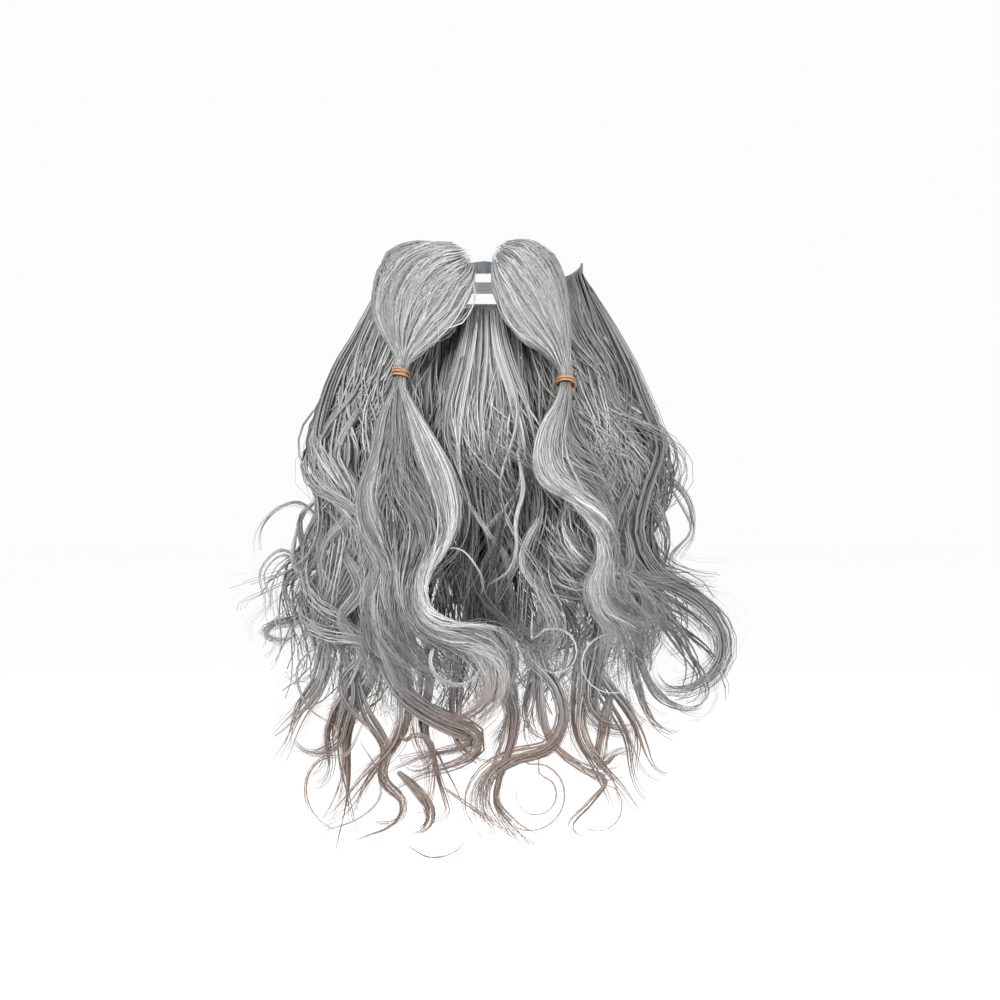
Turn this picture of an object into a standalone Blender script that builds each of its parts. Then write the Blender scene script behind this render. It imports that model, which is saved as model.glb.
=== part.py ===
"""A fake beard with a two-tailed moustache, sewn on a knitted face backing.

Metres, +Z up.  The beard faces -Y and the head goes in from +Y.  The origin is the
middle of the mouth opening, on the side of the backing that lies on the skin.
Left and right are the wearer's, so left is +X.
"""

import math
from typing import NamedTuple

import bmesh
import bpy
import numpy as np
from mathutils import Vector

MM = 0.001
GAP = 0.3 * MM

# The head that the backing fits, in plan half an ellipse at each height: depths from the
# ears to the lips and to the nape, and heights between which it narrows and tucks in
CHEEK_HALF_WIDTH = 72 * MM
CHIN_HALF_WIDTH = 50 * MM
EAR_DEPTH = 95 * MM
NAPE_DEPTH = 98 * MM
NARROWING_TOP = -8 * MM
NARROWING_BOTTOM = -56 * MM
TUCK_TOP = -34 * MM
TUCK_BOTTOM = -58 * MM
CHIN_TUCK = 12 * MM

# Knitted backing
BACKING_WALL = 1.8 * MM
BACKING_COLUMNS = 33
BACKING_ROWS = 6
MOUTH_WIDTH = 44 * MM
MOUTH_HEIGHT = 22 * MM
MOUTH_CORNER = 8 * MM
MOUTH_CUT_DEPTH = 30 * MM

# Elastic band round the back of the head; the lap is in degrees of turn
STRAP_WIDTH = 9 * MM
STRAP_THICK = 1 * MM
STRAP_HEIGHT = 14 * MM
STRAP_LAP = 10
STRAP_COLUMNS = 37

# Hair: locks run straight before they wave, curl over the last share of their length,
# and reach from their root on the backing to the hanging hair
WAVE_START = 90 * MM
CURL_SHARE = 0.36
FILLING_SHARE = 0.25
ROOT_FULLNESS = 0.6
TIP_TAPER = 0.9
EAR_SEAT = 1.3 * MM
CHIN_SEAT = 2.3 * MM
CHIN_REACH = 20 * MM
EAR_REACH = 120 * MM
FACE_ROOTS_ABOVE = -52 * MM
SMALLEST_RADIUS = 2.7 * MM
SIDE_REACH = 178 * MM
PARTING_GAP = 0.3 * MM
LOCK_STEPS = 26
LOCK_SIDES = 10

# Fusing of the locks: cell size, smoothing, and the share of the faces that is kept
VOXEL = 4 * MM
SOFTENING = 4
CHIN_KEEP = 0.12
SIDE_KEEP = 0.1

# Moustache: ribs across its front, which drift sideways by so many radians a metre
RIB_DEPTH = 0.16
RIBS = 5
RIB_DRIFT = 95
FRONT_POINTS = 25
BACK_POINTS = 4
WING_SECTIONS = 36
NECK_HALF_WIDTH = 6 * MM
SPREAD_HALF_WIDTH = 18 * MM

# Rubber ties: wall, and how far up the flat of the band reaches
TIE_WALL = 1.5 * MM
TIE_FLAT = 0.6
TIE_EDGE = 0.3
TIE_SIDES = 20


class Edge(NamedTuple):
    """Upper and lower edge of the backing at a turn round the face, degrees and millimetres."""

    turn: float
    top: float
    bottom: float


BACKING_EDGES = (
    Edge(-90, 26, 4),
    Edge(-75, 20, -14),
    Edge(-55, 12, -32),
    Edge(-32, 9, -46),
    Edge(-12, 17, -52),
    Edge(0, 20, -53),
    Edge(12, 17, -52),
    Edge(32, 9, -46),
    Edge(55, 12, -32),
    Edge(75, 20, -14),
    Edge(90, 26, 4),
)


class Drape(NamedTuple):
    """The hanging hair at a height: how far its front stands out, its depth from front to
    back, and how strongly its sides sweep back, in millimetres and per metre.  The
    moustache lies on the rest, which stands out as far as it says."""

    z: float
    front: float
    depth: float
    sweep: float
    rest: float


DRAPE = (
    Drape(40, 7, 3.5, 9.5, 4.1),
    Drape(0, 7, 3.5, 9.5, 4.1),
    Drape(-30, 13, 9, 9.0, 17),
    Drape(-60, 25, 21, 7.8, 29.5),
    Drape(-100, 37, 34, 6.0, 42),
    Drape(-150, 43, 42, 4.8, 48),
    Drape(-220, 45, 44, 4.2, 50),
    Drape(-300, 40, 36, 4.0, 45),
    Drape(-420, 32, 18, 3.8, 37),
)


class Lock(NamedTuple):
    """A lock of hair, seen from the front, in millimetres and degrees.

    The root is at x, z.  The lock heads straight down plus its lean, positive towards
    the wearer's left, and its heading sways either way once in each wave.  The layer is
    0 at the front of the hair and 1 at its back, and the end turns on by the curl.
    """

    x: float
    z: float
    length: float
    lean: float
    sway: float
    wave: float
    phase: float
    width: float
    thick: float
    layer: float
    curl: float


class Parting(NamedTuple):
    """Where the hair of the chin parts from the side hair at a height, in millimetres."""

    z: float
    right: float
    left: float


PARTINGS = (
    Parting(0, -19, 17),
    Parting(-45, -27, 32),
    Parting(-100, -32, 42),
    Parting(-150, -33, 50),
    Parting(-300, -31, 54),
    Parting(-420, -26, 58),
)

CHIN_LOCKS = (
    Lock(0, -13, 285, 4, 6, 150, 0, 32, 46, 0.5, 0),
    Lock(-9, -19, 280, -4, 8, 150, 90, 32, 46, 0.5, 0),
    Lock(12, -22, 285, 9, 8, 150, 200, 36, 46, 0.5, 0),
    Lock(-14, -34, 280, -3, 6, 150, 200, 32, 46, 0.5, 0),
    Lock(-2, -16, 260, 3, 16, 130, 0, 15, 14, 0.0, 20),
    Lock(-10, -24, 235, -3, 20, 140, 160, 16, 14, 0.0, -60),
    Lock(8, -18, 250, 6, 22, 140, 20, 15, 14, 0.0, 60),
    Lock(20, -30, 250, 4, 22, 130, 200, 16, 14, 0.0, -80),
    Lock(4, -220, 205, 6, 34, 170, 40, 24, 16, 0.4, 20),
    Lock(20, -225, 197, 3, 30, 170, 70, 24, 16, 0.6, -20),
    Lock(-10, -235, 120, -2, 26, 150, 200, 20, 15, 0.6, 90),
    Lock(38, -240, 100, 0, 26, 150, 200, 20, 15, 0.6, 60),
)

RIGHT_LOCKS = (
    Lock(-71.9, 18, 270, -7, 10, 170, 180, 34, 26, 0.5, 0),
    Lock(-70, 2, 280, -11, 12, 150, 90, 34, 34, 0.5, 0),
    Lock(-62, -20, 280, -8, 8, 150, 90, 36, 42, 0.6, 0),
    Lock(-48, -34, 275, -4, 8, 150, 0, 34, 42, 0.6, 0),
    Lock(-34, -40, 270, -2, 6, 150, 200, 32, 42, 0.6, 0),
    Lock(-112, -150, 160, -3, 14, 150, 0, 34, 34, 0.5, 0),
    Lock(-71.8, 10, 310, -13, 26, 130, 150, 20, 16, 0.2, 130),
    Lock(-70, 2, 330, -15, 28, 140, 30, 22, 16, 0.1, -120),
    Lock(-58, -28, 310, -8, 26, 135, 200, 20, 15, 0.2, 110),
    Lock(-104, -180, 130, -12, 30, 120, 180, 22, 16, 0.6, -130),
    Lock(-116, -170, 120, -6, 40, 110, 0, 20, 15, 0.4, 120),
    Lock(-108, -240, 115, -14, 26, 110, 60, 18, 14, 0.4, -90),
    Lock(-84, -250, 130, -18, 30, 120, 150, 18, 14, 0.3, -110),
    Lock(-70, -255, 170, -20, 26, 130, 180, 17, 13, 0.5, 60),
    Lock(-56, -250, 165, -8, 32, 130, 20, 18, 14, 0.4, -90),
    Lock(-44, -255, 155, 2, 32, 120, 190, 18, 14, 0.5, -120),
)

LEFT_LOCKS = (
    Lock(71.9, 18, 270, 7, 10, 170, 0, 34, 26, 0.5, 0),
    Lock(70, 2, 280, 12, 12, 150, 270, 34, 34, 0.5, 0),
    Lock(62, -20, 280, 12, 8, 150, 90, 36, 42, 0.6, 0),
    Lock(54, -32, 275, 7, 8, 150, 0, 34, 42, 0.6, 0),
    Lock(44, -42, 270, 6, 6, 150, 200, 32, 42, 0.6, 0),
    Lock(118, -150, 130, 8, 14, 150, 0, 34, 34, 0.5, 0),
    Lock(71.8, 10, 300, 15, 26, 130, 330, 20, 16, 0.2, -130),
    Lock(70, 2, 300, 18, 28, 140, 210, 22, 16, 0.1, 120),
    Lock(62, -26, 310, 10, 26, 135, 20, 20, 15, 0.2, -110),
    Lock(90, -188, 168, 42, 6, 120, 0, 32, 24, 0.5, -215),
    Lock(120, -170, 120, 14, 40, 110, 180, 20, 15, 0.4, -140),
    Lock(100, -250, 95, 12, 34, 110, 240, 20, 14, 0.4, 100),
    Lock(72, -262, 120, 28, 20, 120, 0, 17, 13, 0.4, 50),
    Lock(70, -250, 150, 3, 32, 130, 200, 18, 14, 0.5, 50),
)


class Section(NamedTuple):
    """A level section of a moustache half: its two sides and its thickness, millimetres."""

    z: float
    side_a: float
    side_b: float
    thick: float


class Tie(NamedTuple):
    """A rubber tie: its middle from the front, its tilt in degrees, radius of the hair in
    it and height of its winding in millimetres."""

    x: float
    z: float
    tilt: float
    hair_radius: float
    height: float


RIGHT_TIE = Tie(-59.8, -61.2, 13, 5.0, 7.5)
RIGHT_WING = (
    Section(37, -60, -46, 3),
    Section(31, -73, -26, 8),
    Section(20, -82, -7, 12),
    Section(6, -82, -6, 15),
    Section(-8, -79, -9, 17),
    Section(-21, -74, -14, 17),
    Section(-33, -69, -26, 16),
    Section(-44, -65.5, -40, 14),
)
RIGHT_TAIL = (
    Section(-78, -73, -53, 12),
    Section(-100, -79, -40, 14),
    Section(-125, -81, -29, 15),
    Section(-150, -74, -19, 16),
    Section(-168, -68, -16, 16),
    Section(-190, -70, -26, 16),
    Section(-215, -78, -40, 15),
    Section(-235, -72, -31, 14),
    Section(-253, -58, -2, 13),
    Section(-271, -44, 14, 12),
    Section(-289, -34, 13, 10),
    Section(-304, -19, -1, 5),
)

LEFT_TIE = Tie(58.7, -67.4, 5, 5.6, 6.5)
LEFT_WING = (
    Section(37, 20, 32, 3),
    Section(31, 12, 43, 8),
    Section(20, 6, 56, 12),
    Section(6, 9, 60, 15),
    Section(-8, 11, 61, 17),
    Section(-21, 14, 62, 17),
    Section(-33, 22, 63, 16),
    Section(-44, 37, 63.5, 14),
    Section(-53, 49, 64, 12),
)
LEFT_TAIL = (
    Section(-82, 44, 71, 12),
    Section(-105, 35, 75, 14),
    Section(-125, 34, 83, 15),
    Section(-145, 40, 93, 16),
    Section(-165, 57, 98, 16),
    Section(-190, 64, 91, 15),
    Section(-213, 63, 86, 14),
    Section(-235, 75, 104, 13),
    Section(-255, 88, 124, 11),
    Section(-271, 86, 119, 9),
    Section(-285, 95, 109, 5),
)


def smooth_step(value):
    """Rise from 0 to 1 with level ends as the value goes from 0 to 1."""
    value = np.clip(value, 0.0, 1.0)
    return value * value * (3.0 - 2.0 * value)


def follow(table, at):
    """Each column of a table after the first, on a smooth curve through its rows."""
    rows = np.array(sorted(table), float)
    keys, values = rows[:, 0], rows[:, 1:]
    slopes = np.gradient(values, keys, axis=0)
    at = np.clip(np.atleast_1d(np.asarray(at, float)), keys[0], keys[-1])
    row = np.clip(np.searchsorted(keys, at) - 1, 0, len(keys) - 2)
    step = (keys[row + 1] - keys[row])[:, None]
    t = (at - keys[row])[:, None] / step
    found = (
        (2 * t**3 - 3 * t**2 + 1) * values[row]
        + (t**3 - 2 * t**2 + t) * step * slopes[row]
        + (3 * t**2 - 2 * t**3) * values[row + 1]
        + (t**3 - t**2) * step * slopes[row + 1]
    )
    return found.T


def face_half_width(z):
    """Half the width of the head at a height, narrowing from the cheeks to the chin."""
    narrowing = smooth_step((NARROWING_TOP - z) / (NARROWING_TOP - NARROWING_BOTTOM))
    return CHEEK_HALF_WIDTH + (CHIN_HALF_WIDTH - CHEEK_HALF_WIDTH) * narrowing


def face_point(turn, z, lift=0.0):
    """A point round the head, at a turn in radians from the middle of the lips.

    The plan is half an ellipse to the ears and another behind them.  The lift moves the
    point along the plan's normal, off the skin if it is positive.
    """
    half_width = face_half_width(z)
    depth = np.where(np.abs(turn) > math.pi / 2, NAPE_DEPTH, EAR_DEPTH)
    under = smooth_step((TUCK_TOP - z) / (TUCK_TOP - TUCK_BOTTOM))
    tuck = CHIN_TUCK * under * np.cos(turn) ** 2
    normal = np.stack([depth * np.sin(turn), -half_width * np.cos(turn)])
    normal = normal / np.hypot(*normal)
    x = half_width * np.sin(turn) + lift * normal[0]
    y = EAR_DEPTH - depth * np.cos(turn) + tuck + lift * normal[1]
    return np.stack([x, y, z * np.ones_like(x)], axis=-1)


def drape_surface(x, z, inward=0.0):
    """Y of the front of the hanging hair, or of a place the given distance behind it."""
    front, _, sweep, _ = follow(DRAPE, z / MM)
    return -front * MM + inward + sweep * x * x


def rest_surface(x, z):
    """Y of the surface that the back of the moustache lies on."""
    _, _, sweep, rest = follow(DRAPE, z / MM)
    return -rest * MM + sweep * x * x


def add_object(name, mesh, material, collection):
    """Put a mesh in the scene as a smooth shaded object with one material."""
    mesh.shade_smooth()
    mesh.materials.append(material)
    piece = bpy.data.objects.new(name, mesh)
    collection.objects.link(piece)
    return piece


def new_material(name, colour, roughness):
    """A plain material of one colour."""
    material = bpy.data.materials.new(name)
    material.use_nodes = True
    shader = material.node_tree.nodes["Principled BSDF"]
    shader.inputs["Base Color"].default_value = (*colour, 1.0)
    shader.inputs["Roughness"].default_value = roughness
    return material


def grid_mesh(name, points):
    """An open surface through a grid of points, given as rows of columns."""
    rows, columns, _ = points.shape
    corner = np.arange(rows * columns).reshape(rows, columns)
    faces = np.stack([corner[:-1, :-1], corner[:-1, 1:], corner[1:, 1:], corner[1:, :-1]], -1)
    mesh = bpy.data.meshes.new(name)
    mesh.from_pydata(points.reshape(-1, 3).tolist(), [], faces.reshape(-1, 4).tolist())
    return mesh


def add_loft(solids, rings):
    """Add a closed tube through rings of points, with both ends capped, to a bmesh."""
    loops = [[solids.verts.new(point) for point in ring] for ring in rings]
    count = len(loops[0])
    for lower, upper in zip(loops[:-1], loops[1:]):
        for side in range(count):
            after = (side + 1) % count
            solids.faces.new((lower[side], lower[after], upper[after], upper[side]))
    solids.faces.new(loops[0][::-1])
    solids.faces.new(loops[-1])


def closed_mesh(name, solids):
    """Turn a bmesh of closed tubes into a mesh whose faces point out."""
    bmesh.ops.recalc_face_normals(solids, faces=solids.faces)
    mesh = bpy.data.meshes.new(name)
    solids.to_mesh(mesh)
    solids.free()
    return mesh


def hair_span(part, z):
    """The lowest and highest X that the hair of a part may reach at each height."""
    right, left = follow(PARTINGS, z / MM) * MM
    reach = np.full_like(right, SIDE_REACH)
    return {
        "chin": (right + PARTING_GAP, left - PARTING_GAP),
        "right": (-reach, right - PARTING_GAP),
        "left": (left + PARTING_GAP, reach),
    }[part]


def lock_rings(lock, part):
    """Rings of points along a lock of hair.

    In the front view the lock is the running sum of short steps along its heading.  Its
    depth goes from the skin of the face, if it is rooted there, to its layer of the
    hanging hair, and its flat side turns with them.
    """
    along = np.linspace(0.0, lock.length * MM, LOCK_STEPS)
    share = along / along[-1]
    swing = np.sin(2 * math.pi * along / (lock.wave * MM) + math.radians(lock.phase))
    curling = np.clip((share - 1 + CURL_SHARE) / CURL_SHARE, 0, 1) ** 1.5
    heading = lock.lean + lock.sway * swing * smooth_step(along / WAVE_START) + lock.curl * curling
    heading = np.radians(heading)
    step = along[1]
    x = lock.x * MM + np.concatenate([[0], np.cumsum(np.sin(heading[:-1]))]) * step
    z = lock.z * MM - np.concatenate([[0], np.cumsum(np.cos(heading[:-1]))]) * step

    filling = ROOT_FULLNESS + (1 - ROOT_FULLNESS) * smooth_step(share / FILLING_SHARE)
    fullness = filling * np.sqrt(1.0 - TIP_TAPER * share**2.5)
    _, depth, sweep, _ = follow(DRAPE, z / MM)
    half_width = np.maximum(0.5 * lock.width * MM * fullness, SMALLEST_RADIUS)
    half_thick = np.minimum(0.5 * lock.thick * MM * fullness, 0.5 * depth * MM)
    half_thick = np.maximum(half_thick, SMALLEST_RADIUS)
    lowest, highest = hair_span(part, z)
    x = np.clip(x, lowest + half_width, highest - half_width)

    layer_room = np.maximum(depth * MM - 2 * half_thick, 0.0)
    hung_y = drape_surface(x, z, half_thick + lock.layer * layer_room)
    hung_turn = np.arctan(2 * sweep * x)

    root_half_width = face_half_width(lock.z * MM)
    turn = math.asin(max(-1.0, min(1.0, lock.x * MM / root_half_width)))
    reach = CHIN_REACH + (EAR_REACH - CHIN_REACH) * abs(math.sin(turn))
    rooted = float(lock.z * MM > FACE_ROOTS_ABOVE) * (1.0 - smooth_step(along / reach))
    seat = CHIN_SEAT + (EAR_SEAT - CHIN_SEAT) * abs(math.sin(turn))
    root = face_point(np.array([turn]), lock.z * MM, seat + half_thick[0])[0]
    x = x + (root[0] - lock.x * MM) * rooted
    y = hung_y + (root[1] - hung_y) * rooted
    plan = hung_turn + (turn - hung_turn) * rooted

    across = np.stack([np.cos(plan), np.sin(plan), np.zeros_like(plan)], -1)
    outward = np.stack([np.sin(plan), -np.cos(plan), np.zeros_like(plan)], -1)
    side = across * np.cos(heading)[:, None] + np.array([0, 0, 1]) * np.sin(heading)[:, None]
    around = np.linspace(0, 2 * math.pi, LOCK_SIDES, endpoint=False)
    middle = np.stack([x, y, z], -1)[:, None, :]
    return (
        middle
        + side[:, None, :] * (half_width[:, None] * np.cos(around))[:, :, None]
        + outward[:, None, :] * (half_thick[:, None] * np.sin(around))[:, :, None]
    )


def add_hair(name, locks, part, keep, material, collection):
    """Fuse locks of hair into one solid and thin its faces to the share kept."""
    solids = bmesh.new()
    for lock in locks:
        add_loft(solids, lock_rings(lock, part))
    hair = add_object(name, closed_mesh(name, solids), material, collection)
    fuse = hair.modifiers.new("fuse", "REMESH")
    fuse.mode = "VOXEL"
    fuse.voxel_size = VOXEL
    fuse.use_smooth_shade = True
    soften = hair.modifiers.new("soften", "SMOOTH")
    soften.factor = 0.5
    soften.iterations = SOFTENING
    thin = hair.modifiers.new("thin", "DECIMATE")
    thin.ratio = keep
    return hair


def neck_sections(tie):
    """Rows for the round neck of hair that a tie holds."""
    slant = math.tan(math.radians(tie.tilt))
    neck = []
    for rise in (0.8, 0.0, -0.8):
        lift = rise * tie.height
        middle = tie.x + lift * slant
        radius = tie.hair_radius
        neck.append(Section(tie.z + lift, middle - radius, middle + radius, 2 * radius))
    return tuple(neck)


def neck_point(tie, lift):
    """The middle of the hair in a tie, at a lift in millimetres above the tie's middle."""
    x = (tie.x + lift * math.tan(math.radians(tie.tilt))) * MM
    z = (tie.z + lift) * MM
    return Vector((x, rest_surface(x, z)[0] - tie.hair_radius * MM, z))


def add_moustache(name, wing, tie, tail, material, collection):
    """Loft a moustache half through its sections, with shallow ribs along its front."""
    neck = neck_sections(tie)
    sections = (*wing, *neck, *tail)
    levels = np.union1d(np.linspace(wing[0].z, tail[-1].z, WING_SECTIONS), [row.z for row in neck])
    side_a, side_b, thick = follow(sections, levels) * MM
    around = math.pi * np.concatenate([
        np.linspace(0, 1, FRONT_POINTS),
        1 + np.arange(1, BACK_POINTS + 1) / (BACK_POINTS + 1),
    ])
    rings = []
    for level, a, b, depth in zip(levels, side_a, side_b, thick):
        z = level * MM
        half_width = 0.5 * (b - a)
        spread = smooth_step((half_width - NECK_HALF_WIDTH) / (SPREAD_HALF_WIDTH - NECK_HALF_WIDTH))
        middle = 0.5 * (a + b)
        x = middle + half_width * np.cos(around)
        front = np.sin(around)
        rib = 1.0 + RIB_DEPTH * spread * np.cos(2 * RIBS * around + RIB_DRIFT * z) * (front > 0)
        rest = rest_surface(middle, z)[0]
        rest = rest + spread * (rest_surface(x, np.full_like(x, z)) - rest)
        y = rest - 0.5 * depth * (1.0 + front * rib)
        rings.append(np.stack([x, y, np.full_like(x, z)], -1))
    solids = bmesh.new()
    add_loft(solids, rings)
    return add_object(name, closed_mesh(name, solids), material, collection)


def add_tie(name, tie, material, collection):
    """Turn a rounded band and seat it round the neck of its moustache half."""
    inner = tie.hair_radius * MM + GAP
    half = 0.5 * tie.height * MM
    flat = TIE_FLAT * half
    edge = inner + TIE_EDGE * TIE_WALL
    outer = inner + TIE_WALL
    profile = [(edge, half), (outer, flat), (outer, -flat), (edge, -half), (inner, -flat), (inner, flat)]
    mesh = bpy.data.meshes.new(name)
    edges = [(point, (point + 1) % len(profile)) for point in range(len(profile))]
    mesh.from_pydata([(x, 0, z) for x, z in profile], edges, [])
    band = add_object(name, mesh, material, collection)
    turned = band.modifiers.new("turned", "SCREW")
    turned.angle = 2 * math.pi
    turned.steps = turned.render_steps = TIE_SIDES
    turned.use_merge_vertices = True
    turned.merge_threshold = 0.00001
    turned.use_normal_calculate = True
    band.location = neck_point(tie, 0)
    along = neck_point(tie, 0.5 * tie.height) - neck_point(tie, -0.5 * tie.height)
    band.rotation_euler = along.to_track_quat("Z", "Y").to_euler()
    return band


def add_backing(material, collection, cutters):
    """The knitted backing: a wall round the lower face, cut through at the mouth."""
    turns = np.linspace(-90, 90, BACKING_COLUMNS)
    top, bottom = follow(BACKING_EDGES, turns) * MM
    down = np.linspace(0, 1, BACKING_ROWS)[:, None]
    z = top + (bottom - top) * down
    points = face_point(np.broadcast_to(np.radians(turns), z.shape), z)
    backing = add_object("backing", grid_mesh("backing", points), material, collection)
    wall = backing.modifiers.new("wall", "SOLIDIFY")
    wall.thickness = BACKING_WALL
    wall.offset = -1

    solids = bmesh.new()
    bmesh.ops.create_cube(solids, size=1)
    for vertex in solids.verts:
        vertex.co.x *= MOUTH_WIDTH
        vertex.co.y *= MOUTH_CUT_DEPTH
        vertex.co.z *= MOUTH_HEIGHT
    corners = [edge for edge in solids.edges if abs(edge.verts[0].co.y - edge.verts[1].co.y) > MM]
    bmesh.ops.bevel(solids, geom=corners, offset=MOUTH_CORNER, segments=5, affect="EDGES", profile=0.5)
    cutter = bpy.data.objects.new("mouth_cutter", closed_mesh("mouth_cutter", solids))
    cutter.hide_render = True
    cutter.display_type = "WIRE"
    cutters.objects.link(cutter)
    mouth = backing.modifiers.new("mouth", "BOOLEAN")
    mouth.operation = "DIFFERENCE"
    mouth.object = cutter
    return backing


def add_strap(material, collection):
    """The elastic band, from inside one ear end of the backing round to the other."""
    turns = np.radians(np.linspace(90 - STRAP_LAP, 270 + STRAP_LAP, STRAP_COLUMNS))
    z = STRAP_HEIGHT + STRAP_WIDTH * np.array([[0.5], [-0.5]]) * np.ones_like(turns)
    points = face_point(np.broadcast_to(turns, z.shape), z, -GAP)
    strap = add_object("head_strap", grid_mesh("head_strap", points), material, collection)
    wall = strap.modifiers.new("wall", "SOLIDIFY")
    wall.thickness = STRAP_THICK
    wall.offset = 1
    return strap


def clear_scene():
    """Remove whatever the scene holds."""
    for old in list(bpy.data.objects):
        bpy.data.objects.remove(old, do_unlink=True)


def main():
    """Build the fake beard."""
    clear_scene()
    beard = bpy.data.collections.new("fake_beard")
    cutters = bpy.data.collections.new("cutters")
    for collection in (beard, cutters):
        bpy.context.scene.collection.children.link(collection)

    hair = new_material("grey_hair", (0.36, 0.36, 0.35), 0.5)
    light_hair = new_material("light_grey_hair", (0.5, 0.5, 0.49), 0.45)
    knit = new_material("grey_knit", (0.16, 0.18, 0.2), 0.9)
    elastic = new_material("grey_elastic", (0.25, 0.25, 0.25), 0.8)
    rubber = new_material("amber_rubber", (0.55, 0.25, 0.08), 0.35)

    add_backing(knit, beard, cutters)
    add_strap(elastic, beard)
    add_hair("chin_hair", CHIN_LOCKS, "chin", CHIN_KEEP, hair, beard)
    add_hair("side_hair_right", RIGHT_LOCKS, "right", SIDE_KEEP, hair, beard)
    add_hair("side_hair_left", LEFT_LOCKS, "left", SIDE_KEEP, hair, beard)
    for side, wing, tie, tail in (
        ("right", RIGHT_WING, RIGHT_TIE, RIGHT_TAIL),
        ("left", LEFT_WING, LEFT_TIE, LEFT_TAIL),
    ):
        add_moustache("moustache_" + side, wing, tie, tail, light_hair, beard)
        add_tie("tie_" + side, tie, rubber, beard)


main()
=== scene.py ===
"""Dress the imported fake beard: strands, knitted backing, elastic band and rubber ties.

Metres, +Z up.  The beard faces -Y and the origin is the middle of the mouth opening.
Left and right are the wearer's, so left is +X.
"""

import logging
import math
from dataclasses import dataclass, field, replace
from enum import Enum
from typing import NamedTuple

import bpy
import numpy as np
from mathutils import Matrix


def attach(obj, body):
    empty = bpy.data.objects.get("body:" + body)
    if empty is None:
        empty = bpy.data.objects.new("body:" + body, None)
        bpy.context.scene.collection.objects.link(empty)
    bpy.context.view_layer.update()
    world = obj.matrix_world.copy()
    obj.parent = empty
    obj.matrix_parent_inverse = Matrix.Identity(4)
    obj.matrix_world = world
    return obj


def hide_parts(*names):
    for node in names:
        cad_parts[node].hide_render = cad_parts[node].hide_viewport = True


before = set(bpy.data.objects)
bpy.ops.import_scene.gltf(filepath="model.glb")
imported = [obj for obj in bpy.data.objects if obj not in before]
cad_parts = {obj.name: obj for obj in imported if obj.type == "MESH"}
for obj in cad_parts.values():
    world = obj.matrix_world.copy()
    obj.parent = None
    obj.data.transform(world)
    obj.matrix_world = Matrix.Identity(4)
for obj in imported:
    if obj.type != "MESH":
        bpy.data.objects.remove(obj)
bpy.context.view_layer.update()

MM = 0.001
TURN = 2 * math.pi
PHASES = (0.0, 6.3)
BODY = "root"
STRAND_MAP = "OFBake"
NEARLY_BACK = np.array([0.08, 1.0, 0.05])
GUIDE_STEPS = 140
LOG = logging.getLogger("fake_beard")


class Slot(Enum):
    """The record's material slots that new pieces take."""

    HAIR = "hair"
    RUBBER = "tie_rubber"


def smooth_step(value: np.ndarray) -> np.ndarray:
    """Rise from 0 to 1 with level ends as the value goes from 0 to 1."""
    value = np.clip(value, 0.0, 1.0)
    return value * value * (3.0 - 2.0 * value)


def follow(table: np.ndarray, at: np.ndarray) -> np.ndarray:
    """Read the columns of a table on a smooth curve through its rows.

    Between two rows each column is the cubic that meets both rows with the slopes that
    its neighbours give there.

    Args:
        table: Rows sorted by their first column, which is the key.
        at: Places along the key, of any shape.

    Returns:
        One array of the shape of the places for each column after the key.
    """
    rows = np.array(sorted(map(tuple, table)), float)
    keys, values = rows[:, 0], rows[:, 1:]
    slopes = np.gradient(values, keys, axis=0)
    at = np.asarray(at, float)
    place = np.clip(at.ravel(), keys[0], keys[-1])
    row = np.clip(np.searchsorted(keys, place) - 1, 0, len(keys) - 2)
    step = (keys[row + 1] - keys[row])[:, None]
    t = (place - keys[row])[:, None] / step
    found = (
        (2 * t**3 - 3 * t**2 + 1) * values[row]
        + (t**3 - 2 * t**2 + t) * step * slopes[row]
        + (3 * t**2 - 2 * t**3) * values[row + 1]
        + (t**3 - t**2) * step * slopes[row + 1]
    )
    return found.T.reshape(values.shape[1], *at.shape)


@dataclass(frozen=True)
class Fit:
    """The form that the backing and the band take, in plan half an ellipse at each height."""

    cheek_half_width: float = 72 * MM
    chin_half_width: float = 50 * MM
    ear_depth: float = 95 * MM
    nape_depth: float = 98 * MM
    narrowing_top: float = -8 * MM
    narrowing_bottom: float = -56 * MM
    tuck_top: float = -34 * MM
    tuck_bottom: float = -58 * MM
    chin_tuck: float = 12 * MM

    def half_width(self, z: np.ndarray) -> np.ndarray:
        """Half the width at a height: a smooth fall from the cheeks' width to the chin's."""
        fall = smooth_step((self.narrowing_top - z) / (self.narrowing_top - self.narrowing_bottom))
        return self.cheek_half_width + (self.chin_half_width - self.cheek_half_width) * fall

    def point(self, turn: np.ndarray, z: np.ndarray, lift: np.ndarray = 0.0) -> np.ndarray:
        """A point round the form.

        The plan is half_width x sin(turn) across and ear_depth x (1 - cos(turn)) back,
        with another depth behind the ears, moved along its normal by the lift.

        Args:
            turn: Radians from the middle of the mouth opening.
            z: Heights.
            lift: Distance off the form.

        Returns:
            Points, in an array with one more axis than the places.
        """
        turn, z, lift = np.broadcast_arrays(turn, z, lift)
        half_width = self.half_width(z)
        depth = np.where(np.abs(turn) > math.pi / 2, self.nape_depth, self.ear_depth)
        under = smooth_step((self.tuck_top - z) / (self.tuck_top - self.tuck_bottom))
        tuck = self.chin_tuck * under * np.cos(turn) ** 2
        normal_x, normal_y = depth * np.sin(turn), -half_width * np.cos(turn)
        length = np.hypot(normal_x, normal_y)
        x = half_width * np.sin(turn) + lift * normal_x / length
        y = self.ear_depth - depth * np.cos(turn) + tuck + lift * normal_y / length
        return np.stack([x, y, z], axis=-1)


class DrapeRow(NamedTuple):
    """The hanging hair at a height: its front, its depth, the backward sweep of its sides
    and the rest that the moustache lies on, in millimetres and per metre."""

    z: float
    front: float
    depth: float
    sweep: float
    rest: float


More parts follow.
